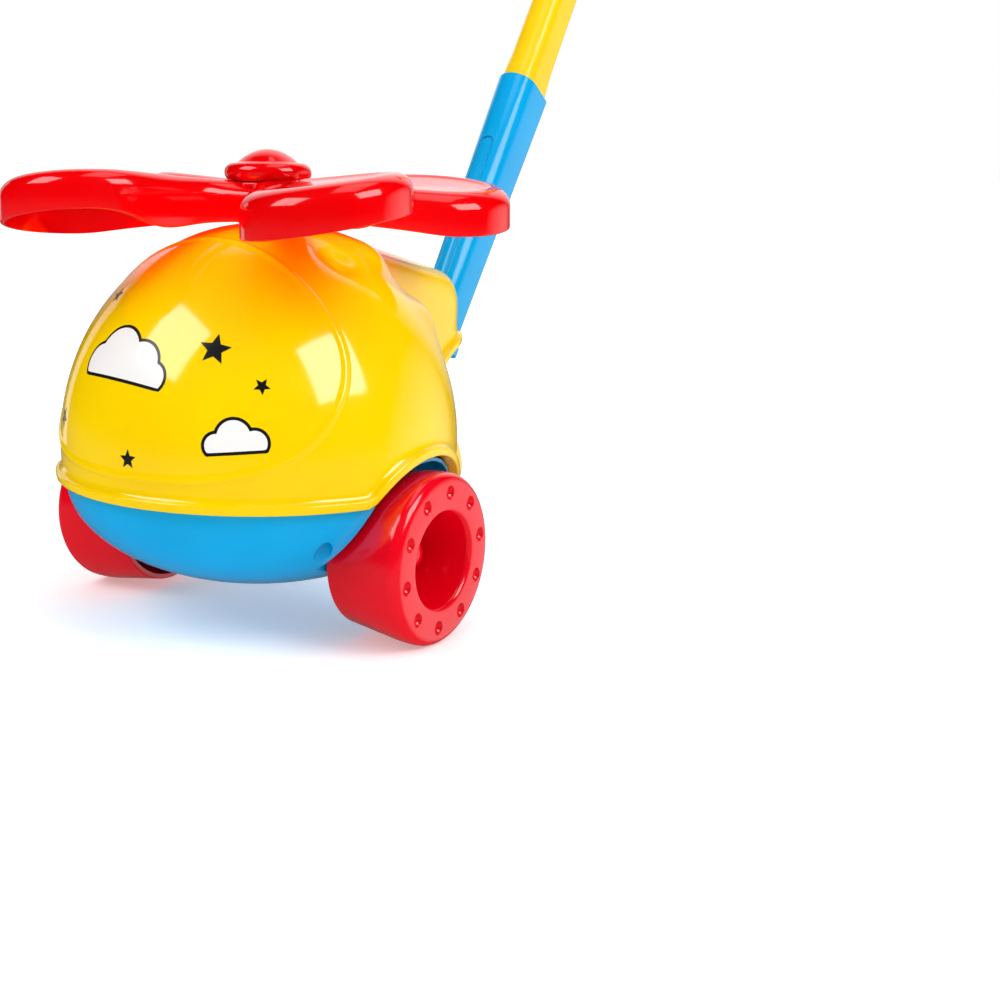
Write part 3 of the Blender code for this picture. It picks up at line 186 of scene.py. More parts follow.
rotor_cap_fillet = 3.0 * mm
rotor_cap_fillet_share = 0.78
rotor_cap_hollow_radius = 10.8 * mm
rotor_cap_gap = 0.05 * mm

# Print on the dome's front: each puff has a place and a radius, and each cloud and star has a
# direction, a tilt and its puffs or its size
print_steps = 160
print_rings = 14
print_lift = 0.05 * mm
print_line = 1.3 * mm
puff_foot_share = 0.55
star_points = 5
star_waist_share = 0.45
big_cloud = ((-14 * mm, 0, 8 * mm), (-4 * mm, 5 * mm, 11 * mm), (9 * mm, 3 * mm, 9 * mm),
             (17 * mm, -1 * mm, 6 * mm))
small_cloud = ((-7 * mm, 0, 4.5 * mm), (0, 3 * mm, 6.5 * mm), (8 * mm, 0, 5 * mm))
cloud_places = ((-6 * deg, 26 * deg, -3 * deg, big_cloud), (31 * deg, 9 * deg, 5 * deg, small_cloud))
star_places = ((24 * deg, 33 * deg, 12 * deg, 6.5 * mm), (-33 * deg, 9 * deg, -8 * deg, 5 * mm),
               (2 * deg, 3 * deg, 20 * deg, 4 * mm), (38 * deg, 24 * deg, -14 * deg, 3.5 * mm),
               (-30 * deg, 45 * deg, 30 * deg, 4 * mm))

# Fasteners
screw_radius = 1.4 * mm
screw_seat_z = 18.5 * mm
boss_joint_z = 27.0 * mm
recess_radius = 4.0 * mm
front_screw = (66 * mm, -46 * mm)
rear_screw = (40 * mm, 62 * mm)
shell_screws = [(side * x, y) for side in (-1, 1) for x, y in (front_screw, rear_screw)]

# Handle: D-shaped tubes, round to the front and flat to the rear, with sizes (width, depth);
# places along its axis are measured from the seat on the tail
handle_seat = Vector((0, 136.3 * mm, 76 * mm))
handle_turn = Matrix.Rotation(-32.8 * deg, 3, "X")
tube_wall = 2.2 * mm
tube_corner = 3.0 * mm
tube_shoulder = 3.0 * mm
tube_edge = 0.6 * mm
lower_tube_length = 160 * mm
lower_tube_foot = (18.5 * mm, 23.5 * mm)
lower_tube_mouth = (22.5 * mm, 29 * mm)
neck_radius = 6.0 * mm
neck_length = 32 * mm
sleeve_wall = 2.0 * mm
sleeve_seat = 1.3 * mm
deck_margin = 2.0 * mm
deck_thickness = 2.5 * mm
deck_collar = 2.4 * mm
slot_top = 119 * mm
slot_length = 90 * mm
slot_half_width = 4.2 * mm
slot_groove = 1.2 * mm
slot_depth = 1.0 * mm
upper_tube_insert = 34 * mm
upper_tube_neck = 22 * mm
upper_tube_length = 213 * mm
upper_tube_mouth = (19.8 * mm, 25.8 * mm)
upper_tube_size = (19.0 * mm, 23.8 * mm)
upper_tube_top = (17.6 * mm, 22 * mm)
upper_tube_middle_share = 0.35
grip_half_length = 56 * mm
grip_radius = 13.0 * mm
grip_waist = 1.5 * mm
grip_socket_depth = 30 * mm
grip_socket_wall = 2.4 * mm
handle_screw_at = -neck_length / 2
grip_screw_at = lower_tube_length + upper_tube_length - 22 * mm

# How the body's surface is found: rays march in from outside, and columns are read from them
march_steps = 100
march_share = 0.8
march_reach = 3 * dome_half_length
least_slope = 0.001
probe = 0.05 * mm
column_samples = 400
seam_samples = 1441
seam_passes = 4
rib_samples = 600
rib_passes = 4
length_share = 0.62
upper_sweep = (-30 * deg, 89 * deg)
lower_sweep = (60 * deg, -89.9 * deg)
steepest_widening = 1.6

# Fineness of the meshes
merge_distance = 0.005 * mm
smooth_angle = 38 * deg
shell_columns = 224
coarse_every = 4
upper_rows = 74
lower_rows = 36
inner_rows = 16
bead_steps = 3
turned_steps = 96
fine_steps = 24
corner_steps = 6
rib_points = 420
rib_strips = 14
blade_side_steps = 24
blade_tip_steps = 40

# Plastics: material slot, colour, the deeper colour it drifts to, roughness and shine
plastics = {
    "yellow_shell": ("yellow_plastic", (0.95, 0.65, 0.0), (0.92, 0.6, 0.0), 0.09, 0.9),
    "yellow_tube_plastic": ("yellow_plastic", (0.92, 0.6, 0.0), (0.88, 0.55, 0.0), 0.2, 0.5),
    "blue_shell": ("blue_plastic", (0.0, 0.38, 0.76), (0.0, 0.35, 0.72), 0.14, 0.5),
    "blue_tube_plastic": ("blue_plastic", (0.0, 0.37, 0.75), (0.0, 0.34, 0.71), 0.14, 0.5),
    "red_rotor": ("red_plastic", (0.8, 0.0, 0.002), (0.74, 0.0, 0.001), 0.09, 0.75),
    "red_wheel_plastic": ("red_plastic", (0.82, 0.0, 0.012), (0.76, 0.0, 0.009), 0.13, 0.8),
    "red_grip_plastic": ("red_plastic", (0.8, 0.0, 0.002), (0.74, 0.0, 0.001), 0.2, 0.5),
    "white_moulding": ("white_plastic", (0.8, 0.8, 0.78), (0.74, 0.74, 0.72), 0.4, 0.5),
    "black_print": ("white_plastic", (0.008, 0.008, 0.009), (0.012, 0.012, 0.013), 0.2, 0.5),
    "white_print": ("white_plastic", (0.86, 0.86, 0.85), (0.82, 0.82, 0.81), 0.2, 0.5)}
drift_scale = 22.0
gloss_scale = 60.0
gloss_detail = 4.0
gloss_shares = (0.85, 1.2)
grain_scale = 900.0
grain_detail = 3.0
grain_strength = 0.05
grain_depth = 0.05 * mm
edge_dulling = 0.1
edge_softness = 0.35 * mm
edge_samples = 4
edge_from_to = (0.8, 0.99)
steel_colour = (0.62, 0.62, 0.62, 1)
steel_roughness = (0.28 * 0.7, 0.28 * 1.3)
steel_grain_scale = 1800.0
steel_grain_strength = 0.08
steel_grain_depth = 0.02 * mm
steel_grain_stretch = (0.08, 1, 1)

# Camera, in the toy's own directions, found from the photograph
camera_azimuth = 29.69 * deg
camera_elevation = 12.52 * deg
camera_roll = 2.25 * deg
camera_place = (440.55 * mm, -554.99 * mm, 172.83 * mm)
camera_lens = 55.72
camera_sensor = 36.0
camera_reach = 100

# Light levels
world_light = (0.27, 0.8)
world_light_from_to = (0.0, 0.9)
# What is mirrored: the white wall behind the toy, and a panel beside the left wheel
mirrored_walls = ((209.7 * deg, 28 * deg, 1.2, 0.78, 0.95), (150 * deg, -15 * deg, 0.9, 0.8, 0.97))
mirrored_floor = (0.12, 0.02, 0.12)
world_seen = 1.0
# Soft lights: azimuth, elevation, width and height as seen from the dome, and power
windows = (("right_window", 92 * deg, 36 * deg, 30 * deg, 28 * deg, 8.5),
           ("left_window", -31 * deg, 44 * deg, 32 * deg, 28 * deg, 7),
           ("overhead", 120 * deg, 80 * deg, 40 * deg, 24 * deg, 2))
side_strip = ("side_strip", -107 * deg, 5 * deg, 10 * deg, 30 * deg, 0.4)
softbox_distance = 1.4
glow_radius = 54 * mm
glow_z = 141 * mm
glow_power = 0.17
glow_colour = (1, 0.02, 0.01)
floor_radius = 60.0
floor_colour = (0.92, 0.92, 0.92, 1)
floor_roughness = (0.55, 0.65)
floor_scale = 3.0
floor_glow = (0.3, 0.56)
floor_glow_from_to = (0.3, 2.2)
white = (1, 1, 1, 1)


# Small modelling helpers

def add_object(name, data):
    made = bpy.data.objects.new(name, data)
    bpy.context.scene.collection.objects.link(made)
    return made


def object_from(bm, sheet=False):
    """An object with its faces turned out; those of a sheet face away from the dome's middle."""
    bmesh.ops.recalc_face_normals(bm, faces=bm.faces[:])
    middle = Vector(dome_centre)
    if sheet and sum(face.normal.dot(face.calc_center_median() - middle) for face in bm.faces) < 0:
        bmesh.ops.reverse_faces(bm, faces=bm.faces[:])
    mesh = bpy.data.meshes.new("shape")
    bm.to_mesh(mesh)
    bm.free()
    return add_object("shape", mesh)


def combine(target, tools, operation, solver="EXACT"):
    """Join, cut or intersect target with tools one by one, and remove the tools."""
    for tool in tools:
        modifier = target.modifiers.new("boolean", "BOOLEAN")
        modifier.operation = operation
        modifier.solver = solver
        modifier.object = tool
        graph = bpy.context.evaluated_depsgraph_get()
        result = bpy.data.meshes.new_from_object(target.evaluated_get(graph))
        target.modifiers.remove(modifier)
        target.data = result
        bpy.data.objects.remove(tool)
    return target


def join(target, *tools):
    return combine(target, tools, "UNION")


def cut(target, *tools):
    return combine(target, tools, "DIFFERENCE")


def trim(target, tool):
    return combine(target, [tool], "INTERSECT")


def gather(pieces):
    """Put separate pieces of one kind into one object."""
    bm = bmesh.new()
    for piece in pieces:
        bm.from_mesh(piece.data)
        bpy.data.objects.remove(piece)
    return object_from(bm)


def rings_solid(rings):
    """A closed solid skinned over rings of points, capped at both ends."""
    bm = bmesh.new()
    rows = [[bm.verts.new(point) for point in ring] for ring in rings]
    for low, high in zip(rows, rows[1:]):
        for i in range(len(low)):
            j = (i + 1) % len(low)
            bm.faces.new((low[i], low[j], high[j], high[i]))
    bm.faces.new(rows[0][::-1])
    bm.faces.new(rows[-1])
    return object_from(bm)


def turned(profile, steps=turned_steps, side=0):
    """Turn a profile of (radius, height) points about Z, or about X towards a side."""
    bm = bmesh.new()
    points = [bm.verts.new((radius, 0, height)) for radius, height in profile]
    edges = [bm.edges.new(pair) for pair in zip(points, points[1:])]
    if profile[0][0] > 0 or profile[-1][0] > 0:
        edges.append(bm.edges.new((points[-1], points[0])))
    bmesh.ops.spin(bm, geom=points + edges, cent=(0, 0, 0), axis=(0, 0, 1), angle=2 * pi,
                   steps=steps, use_merge=True)
    bmesh.ops.remove_doubles(bm, verts=bm.verts[:], dist=merge_distance)
    bmesh.ops.transform(bm, matrix=Matrix.Rotation(side * pi / 2, 4, "Y"), verts=bm.verts[:])
    return object_from(bm)


def bar(radius, start, end, steps=fine_steps):
    """A straight round bar between two points."""
    start, end = Vector(start), Vector(end)
    along = end - start
    turn = Vector((0, 0, 1)).rotation_difference(along.normalized())
    place = Matrix.Translation((start + end) / 2) @ turn.to_matrix().to_4x4()
    bm = bmesh.new()
    bmesh.ops.create_cone(bm, cap_ends=True, segments=steps, radius1=radius, radius2=radius,
                          depth=along.length, matrix=place)
    return object_from(bm)


def ball(radius, centre, steps):
    bm = bmesh.new()
    bmesh.ops.create_uvsphere(bm, u_segments=steps, v_segments=steps // 2, radius=radius,
                              matrix=Matrix.Translation(centre))
    return object_from(bm)


def quarter(steps):
    """Angles over a quarter turn, both ends included."""
    return [pi / 2 * i / steps for i in range(steps + 1)]


def arc(centre, radius, start, end, steps):
    """Points of an arc in a profile plane, both ends included."""
    angles = [start + (end - start) * i / steps for i in range(steps + 1)]
    return [(centre[0] + radius * cos(a), centre[1] + radius * sin(a)) for a in angles]


def rounded(corners, steps=corner_steps):
    """A profile from (radius, height, rounding) corners, each rounded as asked."""
    points = []
    for i, (r, h, rounding) in enumerate(corners):
        here = Vector((r, h))
        if not rounding:
            points.append((r, h))
            continue
        before = Vector(corners[i - 1][:2])
        after = Vector(corners[(i + 1) % len(corners)][:2])
        back, ahead = (before - here).normalized(), (after - here).normalized()
        half = back.angle(ahead) / 2
        reach = rounding / tan(half)
        centre = here + (back + ahead).normalized() * rounding / sin(half)
        start, end = here + back * reach - centre, here + ahead * reach - centre
        turn = start.angle_signed(end)
        for k in range(steps + 1):
            spoke = start.copy()
            spoke.rotate(Matrix.Rotation(-turn * k / steps, 2))
            points.append(tuple(centre + spoke))
    return points


def smooth_step(value, start=0, end=1):
    """A share that eases from 0 at a start to 1 at an end."""
    share = min(max((value - start) / (end - start), 0), 1)
    return share * share * (3 - 2 * share)


def between(low, high, share):
    return [a + (b - a) * share for a, b in zip(low, high)]


# Distances to the body's outer surfaces, over arrays of points

def size(vectors):
    return np.linalg.norm(vectors, axis=-1)


def unit(vectors):
    return vectors / size(vectors)[..., None]


def soft_max(a, b, blend):
    share = np.maximum(blend - np.abs(a - b), 0) / blend
    return np.maximum(a, b) + share * share * blend / 4


def soft_min(a, b, blend):
    return -soft_max(-a, -b, blend)


def ellipsoid_distance(points, centre, halves):
    scaled = (points - np.array(centre)) / np.array(halves)
    near = size(scaled)
    return near * (near - 1) / np.maximum(size(scaled / np.array(halves)), least_slope)


def dome_distance(points):
    return ellipsoid_distance(points, dome_centre, (dome_half_width, dome_half_length, dome_half_height))


def bowl_distance(points):
    share = sqrt(1 - ((seam_height - dome_centre_z) / dome_half_height) ** 2)
    halves = (dome_half_width * share - seam_step, dome_half_length * share - seam_step, bowl_depth)
    bowl = ellipsoid_distance(points, (0, dome_centre_y, seam_height), halves)
    return np.where(points[..., 2] > seam_height, dome_distance(points) + seam_step, bowl)


def below_slant(points, y, z, rise):
    """How far points are below a plane that rises to the rear."""
    return (points[..., 1] - y) * sin(rise) - (points[..., 2] - z) * cos(rise)


def tail_sides(points):
    x, y = np.abs(points[..., 0]), points[..., 1]
    return (x - tail_half_width) * cos(tail_taper) + (y - tail_end_y) * sin(tail_taper)


def boom_distance(points):
    y = points[..., 1]
    shape = soft_max(-below_slant(points, *tail_top), tail_sides(points), tail_rounding)
    shape = soft_max(shape, y - tail_end_y, tail_end_rounding)
    return soft_max(shape, tail_front_y - y, tail_rounding)


def keel_distance(points):
    y = points[..., 1]
    rear = np.maximum(below_slant(points, *keel_steep), y - tail_end_y)
    shape = soft_max(rear, below_slant(points, *keel_knee), keel_rounding * 2)
    shape = soft_max(shape, below_slant(points, *keel_belly), keel_rounding)
    shape = soft_max(shape, tail_sides(points), keel_rounding)
    return soft_max(shape, tail_front_y - y, tail_rounding) + seam_step


def relief(points):
    """How high the swellings and dents stand over the dome."""
    total = 0
    for x, y, z, height, reach in (front_bump, rear_bump, saddle, intake, recess):
        squared = ((np.abs(points[..., 0]) - x) ** 2 + (points[..., 1] - y) ** 2
                   + (points[..., 2] - z) ** 2)
        total = total + height * np.exp(-squared / reach ** 2)
    return total


def upper_distance(points):
    return soft_min(dome_distance(points) - relief(points), boom_distance(points), tail_blend)


def lower_distance(points):
    return soft_min(bowl_distance(points), keel_distance(points), tail_blend)


def outward(distance, points, level=False):
    """Unit normals of the surface that a distance describes, kept level if asked."""
    normal = np.stack([distance(points + shift) - distance(points - shift)
                       for shift in probe * np.eye(3)], axis=-1)
    if level:
        normal[..., 2] = 0
    return unit(normal)


def cast(distance, centre, directions):
    """Where rays from a centre leave the body, found by marching inwards."""
    reach = np.full(directions.shape[:-1], march_reach)
    for _ in range(march_steps):
        reach = reach - march_share * distance(centre + directions * reach[..., None])
    return centre + directions * reach[..., None]


def seam(y):
    """Height of the parting line between the shells, away from the wheel arches."""
    rise = soft_max(seam_height, seam_height + ramp_slope * (y - ramp_start_y), ramp_blend)
    return soft_min(rise, ramp_top_z, ramp_blend)


def arched_seam(y):
    """The upper shell's rim: the seam, lifted over the wheels."""
    radius = well_radius + well_wall + arch_gap
    inside = np.maximum(radius ** 2 - (y - well_y) ** 2, 0)
    arch = np.where(inside > 0, well_z + np.sqrt(inside), seam_height - radius)
    return soft_max(seam(y), arch, ramp_blend / 2)


def column_angles():
    """Where the shells' columns are in plan, closer together where the rim turns."""
    centre = np.array((0, 0, seam_height))
    fine = np.linspace(0, 2 * pi, seam_samples) + pi / 2
    flat = np.stack([np.cos(fine), np.sin(fine), np.zeros_like(fine)], axis=-1)
    points = cast(upper_distance, centre, flat)
    for _ in range(seam_passes):
        rise = seam(points[:, 1]) - centre[2]
        run = size(points[:, :2])
        tilted = np.stack([flat[:, 0] * run, flat[:, 1] * run, rise], axis=-1)
        points = cast(upper_distance, centre, unit(tilted))
    steps = np.diff(points[:, :2], axis=0)
    length = size(steps)
    heading = np.unwrap(np.arctan2(steps[:, 1], steps[:, 0]))
    turning = np.abs(np.diff(heading, append=heading[:1] + 2 * pi))
    turning = (turning + np.roll(turning, 1)) / 2
    measure = length_share * length / length.sum() + (1 - length_share) * turning / turning.sum()
    passed = np.concatenate([[0], np.cumsum(measure)])
    return np.interp(np.arange(shell_columns) / shell_columns, passed / passed[-1], fine)


def column_points(distance, centre, angles, rim, sweep):
    """Each column's fine points, from the rim to the top or the bottom."""
    tilts = np.linspace(*sweep, column_samples)
    angles = np.asarray(angles)[:, None]
    directions = np.stack([np.cos(tilts) * np.cos(angles), np.cos(tilts) * np.sin(angles),
                           np.broadcast_to(np.sin(tilts), (len(angles), len(tilts)))], axis=-1)
    columns = []
    for points in cast(distance, centre, directions):
        side = (points[:, 2] - rim(points[:, 1])) * np.sign(sweep[1])
        last = np.nonzero(side < 0)[0][-1]
        share = side[last] / (side[last] - side[last + 1])
        start = points[last] + share * (points[last + 1] - points[last])
        columns.append(np.vstack([start[None], points[last + 1:]]))
    return columns


def upper_columns(angles):
    """Columns of the dome from its rim to the edge of the mast hole."""
    centre = np.array((0, 0, dome_centre_z))
    columns = []
    for points in column_points(upper_distance, centre, angles, arched_seam, upper_sweep):
        run = size(points[:, :2])
        past = np.nonzero(run < mast_hole_radius)[0][0]
        share = (run[past - 1] - mast_hole_radius) / (run[past - 1] - run[past])
        edge = points[past - 1] + share * (points[past] - points[past - 1])
        columns.append(np.vstack([points[:past], edge[None]]))
    return columns


def lower_columns(angles, above):
    """Columns of the bowl and keel, from a height above the seam to the bottom."""
    return column_points(lower_distance, np.array((0, 0, seam_height)), angles,
                         lambda y: seam(y) + above, lower_sweep)


def column_length(points):
    return size(np.diff(points, axis=0)).sum()


def along_column(points, wanted):
    """Points at given distances along a column of points."""
    length = np.concatenate([[0], np.cumsum(size(np.diff(points, axis=0)))])
    return np.stack([np.interp(wanted, length, points[:, axis]) for axis in range(3)], axis=-1)


def add_columns(bm, grid, flip=False):
    """Skin a grid of points whose columns go once round."""
    columns = [[bm.verts.new(point) for point in column] for column in grid]
    for left, right in zip(columns, columns[1:] + columns[:1]):
        for k in range(len(left) - 1):
            face = (left[k], right[k], right[k + 1], left[k + 1])
            bm.faces.new(face[::-1] if flip else face)
    return columns


def bridge_ends(bm, first, second, row):
    """Join two skins of equal columns along one of their end rows."""
    for i in range(len(first)):
        j = (i + 1) % len(first)
        bm.faces.new((first[i][row], first[j][row], second[j][row], second[i][row]))


def bead_profile():
    """The bead along the upper rim: height above the rim and how far it stands out."""
    high, out, edge = bead_height, bead_proud, bead_edge
    turns, hollow = quarter(bead_steps), quarter(2 * bead_steps)[1:]
    rows = [(edge - edge * cos(a), out - edge + edge * sin(a)) for a in turns]
    rows += [(high - edge + edge * sin(a), out - edge + edge * cos(a)) for a in turns]
    rows += [(high + bead_fillet * (1 - cos(a)), (out - edge) * (1 - sin(a))) for a in hollow]
    return rows


def upper_shell(angles):
    """Dome, boom and bead in one skin, open for the mast and the handle."""
    columns = upper_columns(angles)
    starts = np.array([column[0] for column in columns])
    ahead, behind = np.roll(starts, -1, axis=0), np.roll(starts, 1, axis=0)
    climb = np.abs(ahead[:, 2] - behind[:, 2]) / size((ahead - behind)[:, :2])
    rows = bead_profile()
    shares = np.linspace(0, 1, upper_rows + 1)[1:]
    inner_shares = np.linspace(0, 1, inner_rows + 1)[1:]
    outer, inner = [], []
    for column, widen in zip(columns, np.minimum(np.sqrt(1 + climb ** 2), steepest_widening)):
        total = column_length(column)
        rise = (bead_height + bead_fillet) * widen
        wanted = [height * widen for height, _ in rows] + list(rise + (total - rise) * shares)
        outer.append(along_column(column, wanted))
        inner.append(along_column(column, [0, rise, *(rise + (total - rise) * inner_shares)]))
    outer, inner = np.array(outer), np.array(inner)
    proud = np.array([out for _, out in rows] + [0] * len(shares))
    outer = outer + outward(upper_distance, outer, level=True) * proud[:, None]
    normals = outward(upper_distance, inner)
    normals[:, :1] = outward(upper_distance, inner[:, :1], level=True)
    normals[:, -1] = (0, 0, 1)
    bm = bmesh.new()
    outer_columns = add_columns(bm, outer)
    inner_columns = add_columns(bm, inner - normals * wall, flip=True)
    bridge_ends(bm, outer_columns, inner_columns, 0)
    bridge_ends(bm, outer_columns, inner_columns, -1)
    return cut(object_from(bm), tube_opening())


def lower_skin(angles):
    """Bowl and keel in one skin, with a lip that stands inside the upper shell's wall."""
    lip_out = wall - seam_step + gap
    up = np.array((0, 0, 1))
    shares = np.linspace(0, 1, lower_rows + 1)[1:-1]
    outer, inner = [], []
    for column in lower_columns(angles, -gap):
        total = column_length(column)
        outer.append(along_column(column, [0, *(total * shares)]))
        rim = column[0]
        away = outward(lower_distance, column[:1], level=True)[0]
        lip = [rim - away * lip_out, rim - away * lip_out + up * (lip_height + gap),
               rim - away * (lip_out + lip_width) + up * (lip_height + gap),
               rim - away * (lip_out + lip_width) - up * lip_width]
        points = along_column(column, [lip_height * 2, *(total * shares[shares > lip_share])])
        inner.append(np.vstack([lip, points - outward(lower_distance, points) * wall]))
    bm = bmesh.new()
    outer_columns = add_columns(bm, outer, flip=True)
    inner_columns = add_columns(bm, inner)
    bridge_ends(bm, outer_columns, inner_columns, 0)
    bm.faces.new([column[-1] for column in outer_columns])
    bm.faces.new([column[-1] for column in reversed(inner_columns)])
    return object_from(bm)


def lower_body(angles, inset):
    """The lower shell's outer form as a solid that reaches above the seam."""
    shares = np.linspace(0, 1, lower_rows // 2 + 1)[:-1]
    grid = []
    for column in lower_columns(angles, well_radius / 2):
        points = along_column(column, column_length(column) * shares)
        grid.append(points - outward(lower_distance, points) * inset)
    bm = bmesh.new()
    columns = add_columns(bm, grid)
    bm.faces.new([column[-1] for column in columns])
    count = len(columns)
    for i in range(count // 2):
        corners = [columns[n % count][0] for n in (i, i + 1, count - i - 1, count - i)]
        bm.faces.new([corner for n, corner in enumerate(corners) if corner not in corners[:n]])
    return object_from(bm)


def rib_path():
    """The canopy rib's closed path on the dome, evenly spaced."""
    share = np.linspace(0, 1, rib_samples)
    line_y, turn_z = rib_bend[0]
    over = (line_y - dome_centre_y) / dome_half_length
    top_z = dome_centre_z + dome_half_height * sqrt(1 - over ** 2)
    straight = np.stack([np.full_like(share, line_y), top_z + (turn_z - top_z) * share ** 2])
    weights = ((1 - share) ** 3, 3 * share * (1 - share) ** 2, 3 * share ** 2 * (1 - share), share ** 3)
    bend = np.stack([sum(w * h[axis] for w, h in zip(weights, rib_bend)) for axis in range(2)])
    y, z = np.concatenate([straight, bend], axis=1)
    left = 1 - ((y - dome_centre_y) / dome_half_length) ** 2 - ((z - dome_centre_z) / dome_half_height) ** 2
    end = np.nonzero(left[1:] <= 0)[0][0] + 1
    side = np.stack([dome_half_width * np.sqrt(np.maximum(left[:end], 0)), y[:end], z[:end]], axis=-1)
    side[0, 0] = 0
    side = np.vstack([side, (side[-1] * np.array((0, 1, 1)))[None]])
    loop = np.vstack([side, (side * np.array((-1, 1, 1)))[-2:0:-1], side[:1]])
    total = column_length(loop)
    return along_column(loop, [total * i / rib_points for i in range(rib_points)])


def canopy_rib():
    """The raised line round the canopy: a strip on the dome that swells along its middle."""
    path = rib_path()
    along = unit(np.roll(path, -1, axis=0) - np.roll(path, 1, axis=0))
    across = unit(np.cross(along, outward(dome_distance, path)))
    offsets = np.linspace(-rib_skirt, rib_skirt, rib_strips + 1)
    grid = path[:, None] + across[:, None] * offsets[:, None]
    for _ in range(rib_passes):
        grid = grid - outward(upper_distance, grid) * upper_distance(grid)[..., None]
    rise = (rib_rise + rib_sink) * np.exp(-(offsets / rib_spread) ** 2) - rib_sink
    bm = bmesh.new()
    add_columns(bm, grid + outward(upper_distance, grid) * rise[:, None])
    return object_from(bm, sheet=True)


# Handle

def on_handle(x, y, distance):
    """A point beside the handle's axis: X across, Y to the rear, and distance along it."""
    return handle_seat + handle_turn @ Vector((x, y, distance))


def d_outline(width, depth, corner=tube_corner):
    """A D-shaped section: a half circle to the front, flat sides and two rear corners."""
    radius, rear = width / 2, depth / 2
    outline = arc((0, radius - rear), radius, -pi, 0, fine_steps)
    outline += arc((radius - corner, rear - corner), corner, 0, pi / 2, corner_steps)
    outline += arc((corner - radius, rear - corner), corner, pi / 2, pi, corner_steps)
    return outline


def d_solid(stations):
    """A solid through D-shaped sections given as (distance, width, depth)."""
    return rings_solid([[on_handle(x, y, distance) for x, y in d_outline(width, depth)]
                        for distance, width, depth in stations])


def shifted(station, by):
    return (station[0] + by, *station[1:])


def lower_tube_section(distance, margin=0):
    sizes = between(lower_tube_foot, lower_tube_mouth, distance / lower_tube_length)
    return (distance, *(inner + 2 * margin for inner in sizes))


def tube_opening():
    """The space that the lower tube needs above its seat on the tail."""
    return d_solid([lower_tube_section(-gap, running_gap),
                    lower_tube_section(lower_tube_length / 2, running_gap)])


def upper_tube_stations(margin=0):
    """Sections of the upper tube from its foot inside the lower tube to its top."""
    start = lower_tube_length
    (wide, deep), (width, depth) = upper_tube_mouth, upper_tube_size
    middle = depth + (deep - depth) * upper_tube_middle_share
    stations = [(start - upper_tube_insert, width, middle), (start, wide, deep),
                (start + upper_tube_neck / 2, (wide + width) / 2, middle),
                (start + upper_tube_neck, width, depth), (start + upper_tube_length, *upper_tube_top)]
    return [(distance, width + 2 * margin, depth + 2 * margin) for distance, width, depth in stations]


def slot_cutter():
    """A groove round a long tongue on the lower tube's front, with round ends."""
    low = slot_top - slot_length

    def capsule(half_width, deeper):
        corners = arc((0, slot_top - slot_half_width), half_width, 0, pi, fine_steps)
        corners += arc((0, low + slot_half_width), half_width, pi, 2 * pi, fine_steps)
        floor, front = [], []
        for across, along in corners:
            face = lower_tube_section(along)[2] / 2
            floor.append(on_handle(across, slot_depth - face + deeper, along))
            front.append(on_handle(across, -face - overrun - deeper, along))
        return rings_solid([floor, front])

    return cut(capsule(slot_half_width, 0), capsule(slot_half_width - slot_groove, overrun))


def cross_bar(radius, along, start, end):
    """A bar square to the handle, at a place along it, between two distances to its rear."""
    return bar(radius, on_handle(0, start, along), on_handle(0, end, along))


# Pieces

def lower_shell(angles):
    """The bowl with its wheel wells, axle bearings, screw recesses and the handle's sleeve."""
    shell = lower_skin(angles)
    plain = angles[::coarse_every]
    outside = dome_half_width + overrun
    for side in (-1, 1):
        inner_x = side * (well_inner_x - well_wall)
        well = bar(well_radius + well_wall, (inner_x, well_y, well_z),
                   (side * outside, well_y, well_z), turned_steps)
        join(shell, trim(well, lower_body(plain, bead_edge / 2)),
             bar(axle_boss_radius, (inner_x + side * well_wall / 2, 0, 0),
                 (inner_x - side * axle_boss_length, 0, 0)))
    for x, y in shell_screws:
        post = bar(recess_radius + well_wall, (x, y, -bowl_depth), (x, y, boss_joint_z - gap))
        join(shell, trim(post, lower_body(plain, wall / 2)))
    sleeve = bar(neck_radius + gap + sleeve_wall, on_handle(0, 0, -neck_length - 2 * sleeve_wall),
                 on_handle(0, 0, -deck_thickness / 2))
    deck = d_solid([lower_tube_section(-deck_thickness, deck_margin),
                    lower_tube_section(deck_collar, deck_margin)])
    join(shell, join(sleeve, deck))
    end_x = outside + overrun
    wells = [bar(well_radius, (side * well_inner_x, well_y, well_z), (side * end_x, well_y, well_z),
                 turned_steps) for side in (-1, 1)]
    recesses = [bar(recess_radius, (x, y, -bowl_depth), (x, y, screw_seat_z)) for x, y in shell_screws]
    holes = [bar(screw_radius + running_gap, (x, y, screw_seat_z - overrun),
                 (x, y, boss_joint_z + overrun)) for x, y in shell_screws]
    seat = neck_radius + gap + sleeve_seat
    return cut(shell, tube_opening(),
               bar(neck_radius + gap, on_handle(0, 0, -neck_length - gap), on_handle(0, 0, overrun)),
               gather(wells), bar(axle_radius + running_gap, (-end_x, 0, 0), (end_x, 0, 0)),
               gather(recesses), gather(holes),
               cross_bar(recess_radius, handle_screw_at, seat, seat + 3 * recess_radius),
               cross_bar(screw_radius + running_gap, handle_screw_at, 0, seat + overrun))


